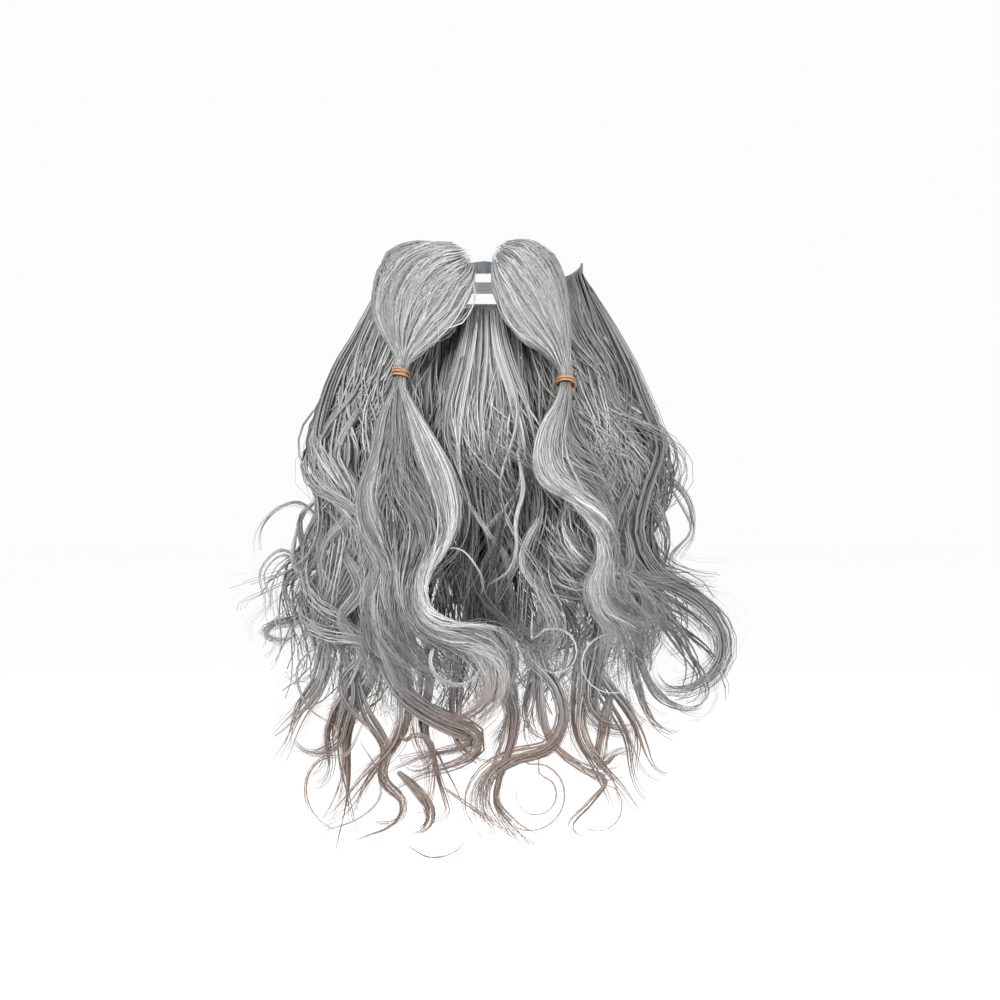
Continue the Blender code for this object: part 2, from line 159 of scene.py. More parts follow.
@dataclass(frozen=True)
class Drape:
    """How the hair hangs from the backing."""

    rows: tuple[DrapeRow, ...] = (
        DrapeRow(40, 7, 3.5, 9.5, 4.1),
        DrapeRow(0, 7, 3.5, 9.5, 4.1),
        DrapeRow(-30, 13, 9, 9.0, 17),
        DrapeRow(-60, 25, 21, 7.8, 29.5),
        DrapeRow(-100, 37, 34, 6.0, 42),
        DrapeRow(-150, 43, 42, 4.8, 48),
        DrapeRow(-220, 45, 44, 4.2, 50),
        DrapeRow(-300, 40, 36, 4.0, 45),
        DrapeRow(-420, 32, 18, 3.8, 37),
    )

    def front(self, x: np.ndarray, z: np.ndarray) -> np.ndarray:
        """Y of the front of the hanging hair: minus its front, plus sweep x X squared."""
        front, _, sweep, _ = follow(self.rows, z / MM)
        return -front * MM + sweep * np.minimum(np.abs(x), 0.14) ** 2

    def rest(self, x: np.ndarray, z: np.ndarray) -> np.ndarray:
        """Y of the surface under the moustache: minus its rest, plus sweep x X squared."""
        _, _, sweep, rest = follow(self.rows, z / MM)
        return -rest * MM + sweep * x * x

    def depth(self, z: np.ndarray) -> np.ndarray:
        """Depth of the hanging hair from front to back at a height."""
        return follow(self.rows, z / MM)[1] * MM

    def plan(self, x: np.ndarray, z: np.ndarray) -> np.ndarray:
        """Turn of the hair's front in plan: the slope of sweep x X squared."""
        return np.arctan(2 * follow(self.rows, z / MM)[2] * x)


FIT = Fit()
DRAPE = Drape()


class Wire:
    """A socket of a material's node tree that takes part in Python sums."""

    def __init__(self, tree: bpy.types.NodeTree, socket: bpy.types.NodeSocket) -> None:
        """Keep the tree and the socket."""
        self.tree = tree
        self.socket = socket

    def sum(self, operation: str, first: "Wire | float", second: "Wire | float") -> "Wire":
        """Add a Math node of an operation to the tree.

        Args:
            operation: The node's operation.
            first, second: Its values or wires.

        Returns:
            The node's result.
        """
        node = self.tree.nodes.new("ShaderNodeMath")
        node.operation = operation
        for socket, value in zip(node.inputs, (first, second)):
            if isinstance(value, Wire):
                self.tree.links.new(value.socket, socket)
            else:
                socket.default_value = value
        return Wire(self.tree, node.outputs[0])

    def __add__(self, other: "Wire | float") -> "Wire":
        """This plus the other."""
        return self.sum("ADD", self, other)

    __radd__ = __add__

    def __sub__(self, other: "Wire | float") -> "Wire":
        """This minus the other."""
        return self.sum("SUBTRACT", self, other)

    def __rsub__(self, other: float) -> "Wire":
        """The other minus this."""
        return self.sum("SUBTRACT", other, self)

    def __mul__(self, other: "Wire | float") -> "Wire":
        """This times the other."""
        return self.sum("MULTIPLY", self, other)

    __rmul__ = __mul__

    def sine(self) -> "Wire":
        """The sine of this, in radians."""
        return self.sum("SINE", self, 0.0)


class Shader:
    """A Principled material that is being wired."""

    def __init__(self, name: str, roughness: float, specular: float = 0.5) -> None:
        """Start a material.

        Args:
            name: The material's name.
            roughness: Roughness all over, unless it is wired later.
            specular: Specular level all over.
        """
        self.material = bpy.data.materials.new(name)
        self.material.use_nodes = True
        self.tree = self.material.node_tree
        self.surface = self.tree.nodes["Principled BSDF"]
        self.surface.inputs["Roughness"].default_value = roughness
        self.surface.inputs["Specular IOR Level"].default_value = specular

    def node(self, kind: str, settings: dict | None = None, output: int | str = 0, **values: object) -> Wire:
        """Add a node.

        Args:
            kind: The node's type.
            settings: Properties to set first; stops holds a colour ramp's places and colours.
            output: The output to return.
            values: Values or wires of its inputs, by name with _ for a space.

        Returns:
            The chosen output.
        """
        node = self.tree.nodes.new(kind)
        for key, value in (settings or {}).items():
            if key == "stops":
                ramp = node.color_ramp.elements
                while len(ramp) < len(value):
                    ramp.new(0.5)
                for element, (place, colour) in zip(ramp, value):
                    element.position = place
                    element.color = (*colour, 1.0)
            else:
                setattr(node, key, value)
        for key, value in values.items():
            socket = node.inputs[key.replace("_", " ")]
            if isinstance(value, Wire):
                self.tree.links.new(value.socket, socket)
            else:
                socket.default_value = value
        return Wire(self.tree, node.outputs[output])

    def split(self, spot: Wire) -> tuple[Wire, Wire, Wire]:
        """The three coordinates of a place.

        Args:
            spot: The place.

        Returns:
            X, Y and Z.
        """
        parts = self.tree.nodes.new("ShaderNodeSeparateXYZ")
        self.tree.links.new(spot.socket, parts.inputs[0])
        return tuple(Wire(self.tree, output) for output in parts.outputs)

    def wrap(self, radius: float) -> tuple[Wire, Wire, Wire]:
        """The object's place, the metres round the backing's upright axis to it and its height.

        Args:
            radius: Radius at which the metres round the axis are measured.

        Returns:
            The place, the metres round and the height.
        """
        spot = self.node("ShaderNodeTexCoord", output="Object")
        x, y, z = self.split(spot)
        turn = x.sum("ARCTAN2", x, FIT.ear_depth - y)
        return spot, turn * radius, z

    def mix(self, share: Wire | float, first: Wire | tuple, second: Wire | tuple) -> Wire:
        """Mix two colours by a share of the second.

        Args:
            share: Share of the second colour.
            first: The first colour.
            second: The second colour.

        Returns:
            The mixed colour.
        """
        node = self.tree.nodes.new("ShaderNodeMix")
        node.data_type = "RGBA"
        sockets = (node.inputs[0], node.inputs[6], node.inputs[7])
        for socket, value in zip(sockets, (share, first, second)):
            if isinstance(value, Wire):
                self.tree.links.new(value.socket, socket)
            else:
                socket.default_value = value if isinstance(value, float) else (*value, 1.0)
        return Wire(self.tree, node.outputs[2])

    def feed(self, **wires: Wire) -> None:
        """Wire sockets of the Principled shader, by name with _ for a space."""
        for key, wire in wires.items():
            self.tree.links.new(wire.socket, self.surface.inputs[key.replace("_", " ")])

    def bump(self, height: Wire, strength: float, distance: float) -> None:
        """Raise the surface by a height through a Bump node."""
        self.feed(Normal=self.node("ShaderNodeBump", Height=height, Strength=strength, Distance=distance))


@dataclass(frozen=True)
class HairFinish:
    """Grey fibre: the strand map's U is the strand's tone and V its age towards the tip."""

    name: str = "silver_fibre"
    shade: tuple[float, float, float] = (0.016, 0.016, 0.0145)
    middle: tuple[float, float, float] = (0.17, 0.17, 0.166)
    light: tuple[float, float, float] = (0.5, 0.5, 0.495)
    tip_shade: tuple[float, float, float] = (0.035, 0.025, 0.02)
    tip_light: tuple[float, float, float] = (0.31, 0.24, 0.203)
    roughness: float = 0.5
    streak: float = 0.9
    fibres: float = 55.0
    patches: float = 2.5

    def make(self) -> bpy.types.Material:
        """Mix the grey and the taupe ramps of the tone by the age, with fine streaks.

        Returns:
            The material.
        """
        shader = Shader(self.name, self.roughness, 0.4)
        spot = shader.node("ShaderNodeUVMap", {"uv_map": STRAND_MAP})
        tone, age, _ = shader.split(spot)
        drawn = shader.node("ShaderNodeCombineXYZ", X=tone * self.fibres, Y=age * self.patches)
        streaks = shader.node(
            "ShaderNodeTexNoise", {"noise_dimensions": "2D"}, Vector=drawn, Scale=1.0, Detail=3.0
        )
        tone = tone + (streaks - 0.5) * self.streak
        grey = shader.node(
            "ShaderNodeValToRGB",
            {"stops": ((0.0, self.shade), (0.5, self.middle), (1.0, self.light))},
            Fac=tone,
        )
        taupe = shader.node(
            "ShaderNodeValToRGB", {"stops": ((0.0, self.tip_shade), (1.0, self.tip_light))}, Fac=tone
        )
        ageing = shader.node(
            "ShaderNodeValToRGB", {"stops": ((0.35, (0, 0, 0)), (0.85, (1, 1, 1)))}, Fac=age
        )
        shader.feed(Base_Color=shader.mix(ageing, grey, taupe))
        shader.bump(streaks, 0.5, 0.15 * MM)
        return shader.material


@dataclass(frozen=True)
class KnitFinish:
    """Blue-grey knitted mesh, in columns that go down the backing."""

    name: str = "knitted_mesh"
    yarn: tuple[float, float, float] = (0.16, 0.175, 0.19)
    gap_shade: tuple[float, float, float] = (0.045, 0.05, 0.055)
    stitch: float = 1.6 * MM
    plan_radius: float = 85 * MM

    def make(self) -> bpy.types.Material:
        """Columns of loops: two crossed waves give the yarn's height, and painted shade darkens its colour
        where the yarn is low, with fuzz mottling it.

        Returns:
            The material.
        """
        shader = Shader(self.name, 0.9, 0.2)
        spot, across, down = shader.wrap(self.plan_radius)
        count = TURN / self.stitch
        column = (across * count).sine()
        loop = (down * (count * 1.3) + column * 1.8).sine()
        rib = column * column
        height = rib * 0.6 + loop * 0.4
        fuzz = shader.node("ShaderNodeTexNoise", Vector=spot, Scale=900.0, Detail=3.0)
        # Painted shade: the colour darkens where the yarn is low; the fuzz is the yarn's own mottling.
        shade = (height + fuzz * 0.5) * 0.8
        shader.feed(Base_Color=shader.mix(shade, self.gap_shade, self.yarn))
        shader.bump(height + fuzz * 0.3, 0.8, 0.5 * MM)
        return shader.material


@dataclass(frozen=True)
class ElasticFinish:
    """Flat woven elastic, ribbed along the band."""

    name: str = "woven_elastic"
    thread: tuple[float, float, float] = (0.2, 0.2, 0.205)
    groove_shade: tuple[float, float, float] = (0.07, 0.07, 0.072)
    rib: float = 1.1 * MM
    weft: float = 0.7 * MM
    plan_radius: float = 90 * MM

    def make(self) -> bpy.types.Material:
        """Ribs along the band, crossed by the weft's finer ridges, with painted shade darkening the low
        places.

        Returns:
            The material.
        """
        shader = Shader(self.name, 0.75, 0.3)
        _, along, across = shader.wrap(self.plan_radius)
        ribs = (across * (TURN / self.rib)).sine()
        weft = (along * (TURN / self.weft) + ribs * 1.5).sine()
        height = ribs * 0.35 + weft * 0.3 + 0.5
        # Painted shade: the colour darkens where the weave is low.
        shader.feed(Base_Color=shader.mix(height, self.groove_shade, self.thread))
        shader.bump(height, 0.9, 0.3 * MM)
        return shader.material


@dataclass(frozen=True)
class RubberFinish:
    """Amber rubber, a little dusty."""

    name: str = "amber_rubber"
    deep: tuple[float, float, float] = (0.13, 0.055, 0.022)
    pale: tuple[float, float, float] = (0.33, 0.17, 0.08)

    def make(self) -> bpy.types.Material:
        """Blotches of two ambers, with fine grain and a soft gloss.

        Returns:
            The material.
        """
        shader = Shader(self.name, 0.38, 0.5)
        spot = shader.node("ShaderNodeTexCoord", output="Object")
        blotch = shader.node("ShaderNodeTexNoise", Vector=spot, Scale=420.0, Detail=4.0)
        grain = shader.node("ShaderNodeTexNoise", Vector=spot, Scale=2600.0, Detail=2.0)
        shader.feed(Base_Color=shader.mix(blotch, self.deep, self.pale), Roughness=blotch * 0.3 + 0.25)
        shader.bump(grain, 0.35, 0.1 * MM)
        return shader.material


@dataclass(frozen=True)
class PlainFinish:
    """One plain colour for the floor, which isn't part of the object."""

    name: str
    colour: tuple[float, float, float]

    def make(self) -> bpy.types.Material:
        """A matt material of the colour.

        Returns:
            The material.
        """
        shader = Shader(self.name, 0.9, 0.1)
        shader.surface.inputs["Base Color"].default_value = (*self.colour, 1.0)
        return shader.material


@dataclass(frozen=True)
class Piece:
    """A piece of the scene: its name, the CAD node it stands for and its slot."""

    name: str
    node: str
    slot: Slot

    def place(self, points: np.ndarray, faces: list, material: bpy.types.Material) -> bpy.types.Object:
        """Make the piece's object from its mesh, tie it to the frame and report it.

        Args:
            points: Places of the corners, n x 3.
            faces: Corners of each face.
            material: The piece's only material.

        Returns:
            The piece's object.
        """
        mesh = bpy.data.meshes.new(self.name)
        mesh.from_pydata(points, [], faces)
        mesh.materials.append(material)
        mesh.polygons.foreach_set("use_smooth", np.ones(len(mesh.polygons), bool))
        piece = bpy.data.objects.new(self.name, mesh)
        bpy.context.scene.collection.objects.link(piece)
        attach(piece, BODY)
        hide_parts(self.node)
        LOG.info("%s: %d triangles", self.name, sum(len(face) - 2 for face in faces))
        return piece


@dataclass(frozen=True)
class Fibre:
    """The cross-section and colour of strands.

    Args:
        radius: Half the width of a strand at its thickest.
        tone: Middle of the tones, from 0, darkest, to 1, lightest.
        spread: How far a strand's tone may be from the middle.
        stray: Share of strands that wander off their tuft.
        flatness: Thickness of a strand as a share of its width.
        band: Share of the strand map's width that each side of a strand takes.
        curl: Most radians by which the end of a tuft curls.
        core: How much darker a strand gets in the hollow below the chin, as painted shade.
    """

    radius: float = 0.24 * MM
    tone: float = 0.5
    spread: float = 0.24
    stray: float = 0.12
    flatness: float = 0.62
    band: float = 0.003
    curl: float = 0.0
    core: float = 0.0


@dataclass
class Strands:
    """Tapered three-sided strands, gathered until they become one mesh."""

    sides: int = 3
    points: list[np.ndarray] = field(default_factory=list)
    faces: list[np.ndarray] = field(default_factory=list)
    caps: list[np.ndarray] = field(default_factory=list)
    face_maps: list[np.ndarray] = field(default_factory=list)
    cap_maps: list[np.ndarray] = field(default_factory=list)
    total: int = 0

    def add(
        self, path: np.ndarray, radius: np.ndarray, tone: np.ndarray, age: np.ndarray,
        flatness: float, band: float,
    ) -> None:
        """Add strands that all have the same number of rings.

        Args:
            path: Middle of each strand at each ring, n x k x 3.
            radius: Half its width there, n x k.
            tone: Tone of each strand at each ring, n x k.
            age: Age at each ring, n x k, from 0 at a grey root to 1 at a taupe tip.
            flatness: Thickness of a strand as a share of its width.
            band: Share of the strand map's width that each side of a strand takes.
        """
        count, rings = radius.shape
        along = np.gradient(path, axis=1)
        along /= np.linalg.norm(along, axis=2, keepdims=True) + 1e-12
        across = np.cross(along, NEARLY_BACK)
        across /= np.linalg.norm(across, axis=2, keepdims=True) + 1e-12
        facing = np.cross(across, along)
        turn = np.radians(90.0) + TURN * np.arange(self.sides) / self.sides
        ring = (
            across[:, :, None, :] * np.cos(turn)[:, None]
            + facing[:, :, None, :] * (flatness * np.sin(turn))[:, None]
        )
        points = path[:, :, None, :] + ring * radius[:, :, None, None]
        index = self.total + np.arange(count * rings * self.sides).reshape(count, rings, self.sides)
        after = np.roll(index, -1, axis=2)
        quads = np.stack([index[:, :-1], index[:, 1:], after[:, 1:], after[:, :-1]], axis=-1)
        ends = np.concatenate([index[:, 0], index[:, -1, ::-1]], axis=1).reshape(-1, self.sides)

        tone = np.clip(tone, 0.02, 0.97 - 3 * band)[:, :, None] + band * np.arange(self.sides)
        near, far = tone[:, :-1], tone[:, 1:]
        age = np.clip(age, 0.02, 0.97)[:, :, None] + np.zeros(self.sides)
        low, high = age[:, :-1], age[:, 1:]
        quad_map = np.stack([near, low, far, high, far + band, high, near + band, low], axis=-1)
        corner = np.array([[0, 0], [1, 0], [0, 1]]) * band
        end_age = age[:, (0, -1), 0]
        end_map = np.stack([tone[:, (0, -1), 0], end_age], axis=-1)
        end_map = end_map[:, :, None, :] + corner

        self.points.append(points.reshape(-1, 3))
        self.faces.append(quads.reshape(-1, 4))
        self.caps.append(ends)
        self.face_maps.append(quad_map.reshape(-1))
        self.cap_maps.append(end_map.reshape(-1))
        self.total += points[..., 0].size

    def place(self, piece: Piece, material: bpy.types.Material) -> None:
        """Join the strands into the piece's mesh, with their strand map.

        Args:
            piece: The piece that they make.
            material: Its material.
        """
        faces = np.concatenate(self.faces).tolist() + np.concatenate(self.caps).tolist()
        placed = piece.place(np.concatenate(self.points), faces, material)
        places = np.concatenate([*self.face_maps, *self.cap_maps])
        placed.data.uv_layers.new(name=STRAND_MAP).data.foreach_set("uv", places.astype(np.float32))


TAUPE_TOP = -255 * MM
TAUPE_HEIGHT = 80 * MM
# Top and bottom of the hollow below the chin, where painted shade darkens the hair.
CHIN_SHADE_TOP = -95 * MM
CHIN_SHADE_BOTTOM = -230 * MM
STRAIGHT_SHARE = 0.6


def ageing(z: np.ndarray, share: np.ndarray) -> np.ndarray:
    """How far hair has turned from grey to taupe: with depth below the chin and share of the length."""
    low = smooth_step((TAUPE_TOP - z) / TAUPE_HEIGHT)
    return 0.04 + 0.75 * low + 0.12 * share**3 + 0.1 * share


def chin_shade_mask(z: np.ndarray) -> np.ndarray:
    """How far a height is in the hollow below the chin, where painted shade darkens the hair, from 0, outside
    it, to 1.
    """
    return smooth_step((CHIN_SHADE_TOP - z) / 0.06) * (1.0 - smooth_step((CHIN_SHADE_BOTTOM - z) / 0.05))


def slimming(share: np.ndarray, full_until: float) -> np.ndarray:
    """Width of a strand as a share of its fullest: a third at its root and a seventh at its tip.

    Args:
        share: Share of the strand's length.
        full_until: Share of the length at which it starts to slim towards the tip.
    """
    tip = 1.0 - 0.85 * smooth_step((share - full_until) / (1.0 - full_until))
    return tip * (0.35 + 0.65 * smooth_step(share * 8))


def curl_ends(
    x: np.ndarray, z: np.ndarray, share: np.ndarray, bend: np.ndarray
) -> tuple[np.ndarray, np.ndarray]:
    """Turn the headings of strands' ends more and more, and walk the same steps along them.

    Args:
        x, z: Places of each strand at each ring, n x k.
        share: Share of the strand's length at each ring, 1 x k.
        bend: Angle by which the very end of each strand turns, n x 1.

    Returns:
        The new places.
    """
    step_x, step_z = np.diff(x, axis=1), np.diff(z, axis=1)
    curled = np.clip((share[:, 1:] - STRAIGHT_SHARE) / (1.0 - STRAIGHT_SHARE), 0.0, 1.0)
    heading = np.arctan2(step_x, -step_z) + bend * curled
    step = np.hypot(step_x, step_z)
    x = np.concatenate([x[:, :1], x[:, :1] + np.cumsum(step * np.sin(heading), axis=1)], axis=1)
    z = np.concatenate([z[:, :1], z[:, :1] - np.cumsum(step * np.cos(heading), axis=1)], axis=1)
    return x, z


@dataclass(frozen=True)
class Route:
    """A lock's middle, with the directions and half sizes of its flat oval section."""

    middle: np.ndarray
    side: np.ndarray
    outward: np.ndarray
    half_width: np.ndarray
    half_thick: np.ndarray

    def comb(
        self, into: Strands, fibre: Fibre, tufts: int, strands: int, rings: int, seed: int, shortest: float
    ) -> None:
        """Fill the lock with tufts of strands.

        A strand keeps its place in the oval section, which drifts on slow waves, and the
        strands of a tuft draw together towards its tip.

        Args:
            into: Where the strands are gathered.
            fibre: Section and colour of the strands.
            tufts: Number of tufts.
            strands: Strands in a tuft.
            rings: Rings in a strand.
            seed: Seed of the lock's own random numbers.
            shortest: Share of the lock's length that its shortest tuft has.
        """
        rng = np.random.default_rng(seed)
        count = tufts * strands
        tuft = np.repeat(np.arange(tufts), strands)

        def per_tuft(low: float, high: float) -> np.ndarray:
            """A random number for each tuft, given to each of its strands."""
            return rng.uniform(low, high, tufts)[tuft][:, None]

        def per_strand(low: float, high: float) -> np.ndarray:
            """A random number for each strand."""
            return rng.uniform(low, high, count)[:, None]

        stray = (rng.random(count) < fibre.stray)[:, None]
        start = per_strand(0.0, 0.03)
        end = per_tuft(shortest, 1.0) * per_strand(0.93, 1.0)
        share = np.linspace(0.0, 1.0, rings)[None, :]
        at = start + (end - start) * share
        angle, reach = per_tuft(0, TURN), np.sqrt(per_tuft(0.02, 0.62))
        own_angle, own_reach = per_strand(0, TURN), np.sqrt(per_strand(0.0, 1.0))
        twist = per_tuft(-1.6, 1.6) * share
        size = 0.42 * (1.0 - 0.25 * smooth_step(share * 1.1)) * np.where(stray, 1.6, 1.0)
        wave = 0.16 * np.sin(TURN * per_tuft(0.6, 2.0) * at + per_tuft(*PHASES)) * smooth_step(at * 3)
        own = np.where(stray, 0.3, 0.07) * smooth_step(at * 2.5)
        own_a = own * np.sin(TURN * per_strand(0.8, 3.4) * at + per_strand(*PHASES))
        own_b = own * np.sin(TURN * per_strand(0.8, 3.4) * at + per_strand(*PHASES))
        a = reach * np.cos(angle + twist) + size * own_reach * np.cos(own_angle) + wave + own_a
        b = reach * np.sin(angle + twist) + size * own_reach * np.sin(own_angle) + own_b
        fray = 1.0 + 0.9 * per_strand(0.0, 1.0) * smooth_step((share - 0.55) / 0.45)

        place = np.clip(at, 0, 1) * (len(self.middle) - 1)
        row = np.minimum(place.astype(int), len(self.middle) - 2)
        part = (place - row)[..., None]

        def read(values: np.ndarray) -> np.ndarray:
            """Values of the lock at each ring of each strand."""
            values = values if values.ndim > 1 else values[:, None]
            return values[row] * (1 - part) + values[row + 1] * part

        path = (
            read(self.middle)
            + read(self.side) * read(self.half_width) * (a * fray)[..., None]
            + read(self.outward) * read(self.half_thick) * (b * fray)[..., None]
        )
        bend = per_tuft(-1.0, 1.0) * per_strand(0.7, 1.2) * fibre.curl
        path[..., 0], path[..., 2] = curl_ends(path[..., 0], path[..., 2], share, bend)
        taper = slimming(share, 0.4)
        radius = fibre.radius * per_strand(0.7, 1.2) * taper * np.where(stray, 0.7, 1.0)
        # Painted shade: strands towards the back of the lock are darker, those towards the front lighter.
        depth_shading = 0.1 * reach * np.sin(angle)
        tone = fibre.tone + depth_shading + (per_tuft(-1, 1) + per_strand(-1, 1)) * 0.5 * fibre.spread + 0 * at
        # Painted shade: strands are darker in the hollow below the chin.
        tone = tone - fibre.core * chin_shade_mask(path[..., 2])
        into.add(path, radius, tone, ageing(path[..., 2], at), fibre.flatness, fibre.band)


class Part(Enum):
    """The three parts of the hanging hair."""

    CHIN = "chin_hair"
    RIGHT = "side_hair_right"
    LEFT = "side_hair_left"


class PartingRow(NamedTuple):
    """Where the chin hair meets the right and the left side hair at a height."""

    z: float
    right: float
    left: float


PARTINGS = (
    PartingRow(0, -19, 17),
    PartingRow(-45, -27, 32),
    PartingRow(-100, -32, 42),
    PartingRow(-150, -33, 50),
    PartingRow(-300, -31, 54),
    PartingRow(-420, -26, 58),
)
SIDE_REACH = 178 * MM


def hair_span(part: Part, z: np.ndarray) -> tuple[np.ndarray, np.ndarray]:
    """Lowest and highest X of a part of the hair at a height.

    Args:
        part: The part of the hanging hair.
        z: Heights.

    Returns:
        The lowest and the highest X.
    """
    right, left = follow(PARTINGS, z / MM) * MM
    if part is Part.CHIN:
        return right, left
    if part is Part.RIGHT:
        return np.full_like(right, -SIDE_REACH), right
    return left, np.full_like(left, SIDE_REACH)


def rooting(run: np.ndarray, aside: np.ndarray) -> np.ndarray:
    """How far hair still lies on the backing, 1 at its root: it leaves later where the root is far aside.

    Args:
        run: Metres from the root, along the hair.
        aside: Share of the backing's half width at which the root is.
    """
    return 1.0 - smooth_step(run / ((20 + 100 * aside) * MM))


def hang(
    x: np.ndarray, z: np.ndarray, heading: np.ndarray, half_width: np.ndarray, half_thick: np.ndarray,
    layer: float, root: tuple[float, float] | None,
) -> Route:
    """Give a lock seen from the front its depth and its section's directions.

    Its depth goes from the backing, where it is rooted in it, to its layer of the
    hanging hair, and its flat side turns with the hair's front.

    Args:
        x: Places across, along the lock.
        z: Heights, along the lock.
        heading: Angle of the lock from straight down, towards +X.
        half_width: Half its width.
        half_thick: Half its thickness.
        layer: 0 for the front of the hanging hair and 1 for its back.
        root: X and Z of the root in the backing, or None where the hair starts lower.

    Returns:
        The lock's route.
    """
    depth = DRAPE.depth(z)
    inward = half_thick + layer * np.maximum(depth - 2 * half_thick, 0.0)
    y = DRAPE.front(x, z) + inward
    plan = DRAPE.plan(x, z)
    if root is not None:
        turn = math.asin(np.clip(root[0] / FIT.half_width(np.array(root[1])), -1.0, 1.0))
        run = np.concatenate([[0.0], np.cumsum(np.hypot(np.diff(x), np.diff(z)))])
        aside = abs(math.sin(turn))
        rooted = rooting(run, aside)
        seat = (2.3 - aside) * MM
        base = FIT.point(np.array(turn), np.array(root[1]), seat + half_thick[0])
        x = x + (base[0] - root[0]) * rooted
        y = y + (base[1] - y) * rooted
        plan = plan + (turn - plan) * rooted
    level = np.zeros_like(plan)
    across = np.stack([np.cos(plan), np.sin(plan), level], -1)
    outward = np.stack([np.sin(plan), -np.cos(plan), level], -1)
    side = across * np.cos(heading)[:, None] + np.array([0, 0, 1]) * np.sin(heading)[:, None]
    return Route(np.stack([x, y, z], -1), side, outward, half_width, half_thick)


class Lock(NamedTuple):
    """A lock that swings as it hangs: its root, length and section in millimetres, angles in degrees."""

    x: float
    z: float
    length: float
    lean: float
    sway: float
    wave: float
    phase: float
    width: float
    thick: float
    layer: float
    curl: float

    def route(self, part: Part, steps: int = 121) -> Route:
        """The running sum of short steps along the lock's swinging heading.

        Args:
            part: The part that the lock stays within.
            steps: Number of places along it.

        Returns:
            Its route.
        """
        along = np.linspace(0.0, self.length * MM, steps)
        share = along / along[-1]
        swing = np.sin(TURN * along / (self.wave * MM) + math.radians(self.phase))
        curling = np.clip((share - 0.64) / 0.36, 0, 1) ** 1.5
        swaying = self.sway * swing * smooth_step(along / (90 * MM))
        heading = np.radians(self.lean + swaying + self.curl * curling)
        x = self.x * MM + np.concatenate([[0], np.cumsum(np.sin(heading[:-1]))]) * along[1]
        z = self.z * MM - np.concatenate([[0], np.cumsum(np.cos(heading[:-1]))]) * along[1]
        filling = 0.6 + 0.4 * smooth_step(share / 0.2)
        fullness = filling * (1.0 - 0.55 * smooth_step((share - 0.45) / 0.55))
        half_width = 0.5 * self.width * MM * fullness
        half_thick = np.minimum(0.5 * self.thick * MM * fullness, 0.5 * DRAPE.depth(z))
        lowest, highest = hair_span(part, z)
        x = np.clip(x, lowest + half_width, highest - half_width)
        root = (self.x * MM, self.z * MM) if self.z > -52 else None
        return hang(x, z, heading, half_width, half_thick, self.layer, root)


# A lock's numbers are its root, length, lean, sway, wave, phase, width, thickness, layer and curl
TIP_LOCKS = {
    Part.CHIN: (
        Lock(-2, -16, 260, 3, 16, 130, 0, 15, 14, 0.0, 20),
        Lock(-10, -24, 235, -3, 20, 140, 160, 16, 14, 0.0, -60),
        Lock(8, -18, 250, 6, 22, 140, 20, 15, 14, 0.0, 60),
        Lock(20, -30, 250, 4, 22, 130, 200, 16, 14, 0.0, -80),
        Lock(-10, -235, 120, -2, 26, 150, 200, 20, 15, 0.6, 90),
        Lock(38, -240, 100, 0, 26, 150, 200, 20, 15, 0.6, 60),
    ),
    Part.RIGHT: (
        Lock(-71.8, 10, 310, -13, 26, 130, 150, 20, 16, 0.2, 130),
        Lock(-70, 2, 330, -15, 28, 140, 30, 22, 16, 0.1, -120),
        Lock(-58, -28, 310, -8, 26, 135, 200, 20, 15, 0.2, 110),
        Lock(-104, -180, 130, -12, 30, 120, 180, 22, 16, 0.6, -130),
        Lock(-116, -170, 120, -6, 40, 110, 0, 20, 15, 0.4, 120),
        Lock(-108, -240, 115, -14, 26, 110, 60, 18, 14, 0.4, -90),
        Lock(-84, -250, 130, -18, 30, 120, 150, 18, 14, 0.3, -110),
        Lock(-70, -255, 170, -20, 26, 130, 180, 17, 13, 0.5, 60),
        Lock(-56, -250, 165, -8, 32, 130, 20, 18, 14, 0.4, -90),
        Lock(-44, -255, 155, 2, 32, 120, 190, 18, 14, 0.5, -120),
    ),
    Part.LEFT: (
        Lock(71.8, 10, 300, 15, 26, 130, 330, 20, 16, 0.2, -130),
        Lock(70, 2, 300, 18, 28, 140, 210, 22, 16, 0.1, 120),
        Lock(62, -26, 310, 10, 26, 135, 20, 20, 15, 0.2, -110),
        Lock(90, -188, 168, 42, 6, 120, 0, 32, 24, 0.5, -215),
        Lock(120, -170, 120, 14, 40, 110, 180, 20, 15, 0.4, -140),
        Lock(100, -250, 95, 12, 34, 110, 240, 20, 14, 0.4, 100),
        Lock(72, -262, 120, 28, 20, 120, 0, 17, 13, 0.4, 50),
        Lock(70, -250, 150, 3, 32, 130, 200, 18, 14, 0.5, 50),
    ),
}


def trace(points: tuple[tuple[float, float], ...], steps: int) -> tuple[np.ndarray, np.ndarray, np.ndarray]:
    """A smooth line through points in millimetres, walked in even steps.

    Args:
        points: X and Z of each point.
        steps: Number of places wanted.

    Returns:
        X, Z and the heading from straight down towards +X, in metres and radians.
    """
    corners = np.array(points, float) * MM
    knots = np.concatenate([[0.0], np.cumsum(np.sqrt(np.linalg.norm(np.diff(corners, axis=0), axis=1)))])
    fine = np.linspace(0.0, knots[-1], 12 * len(points) + 2 * steps)
    x, z = follow(np.column_stack([knots, corners]), fine)
    run = np.concatenate([[0.0], np.cumsum(np.hypot(np.diff(x), np.diff(z)))])
    even = np.linspace(0.0, run[-1], steps)
    x, z = np.interp(even, run, x), np.interp(even, run, z)
    heading = np.unwrap(np.arctan2(np.gradient(x), -np.gradient(z)))
    return x, z, heading


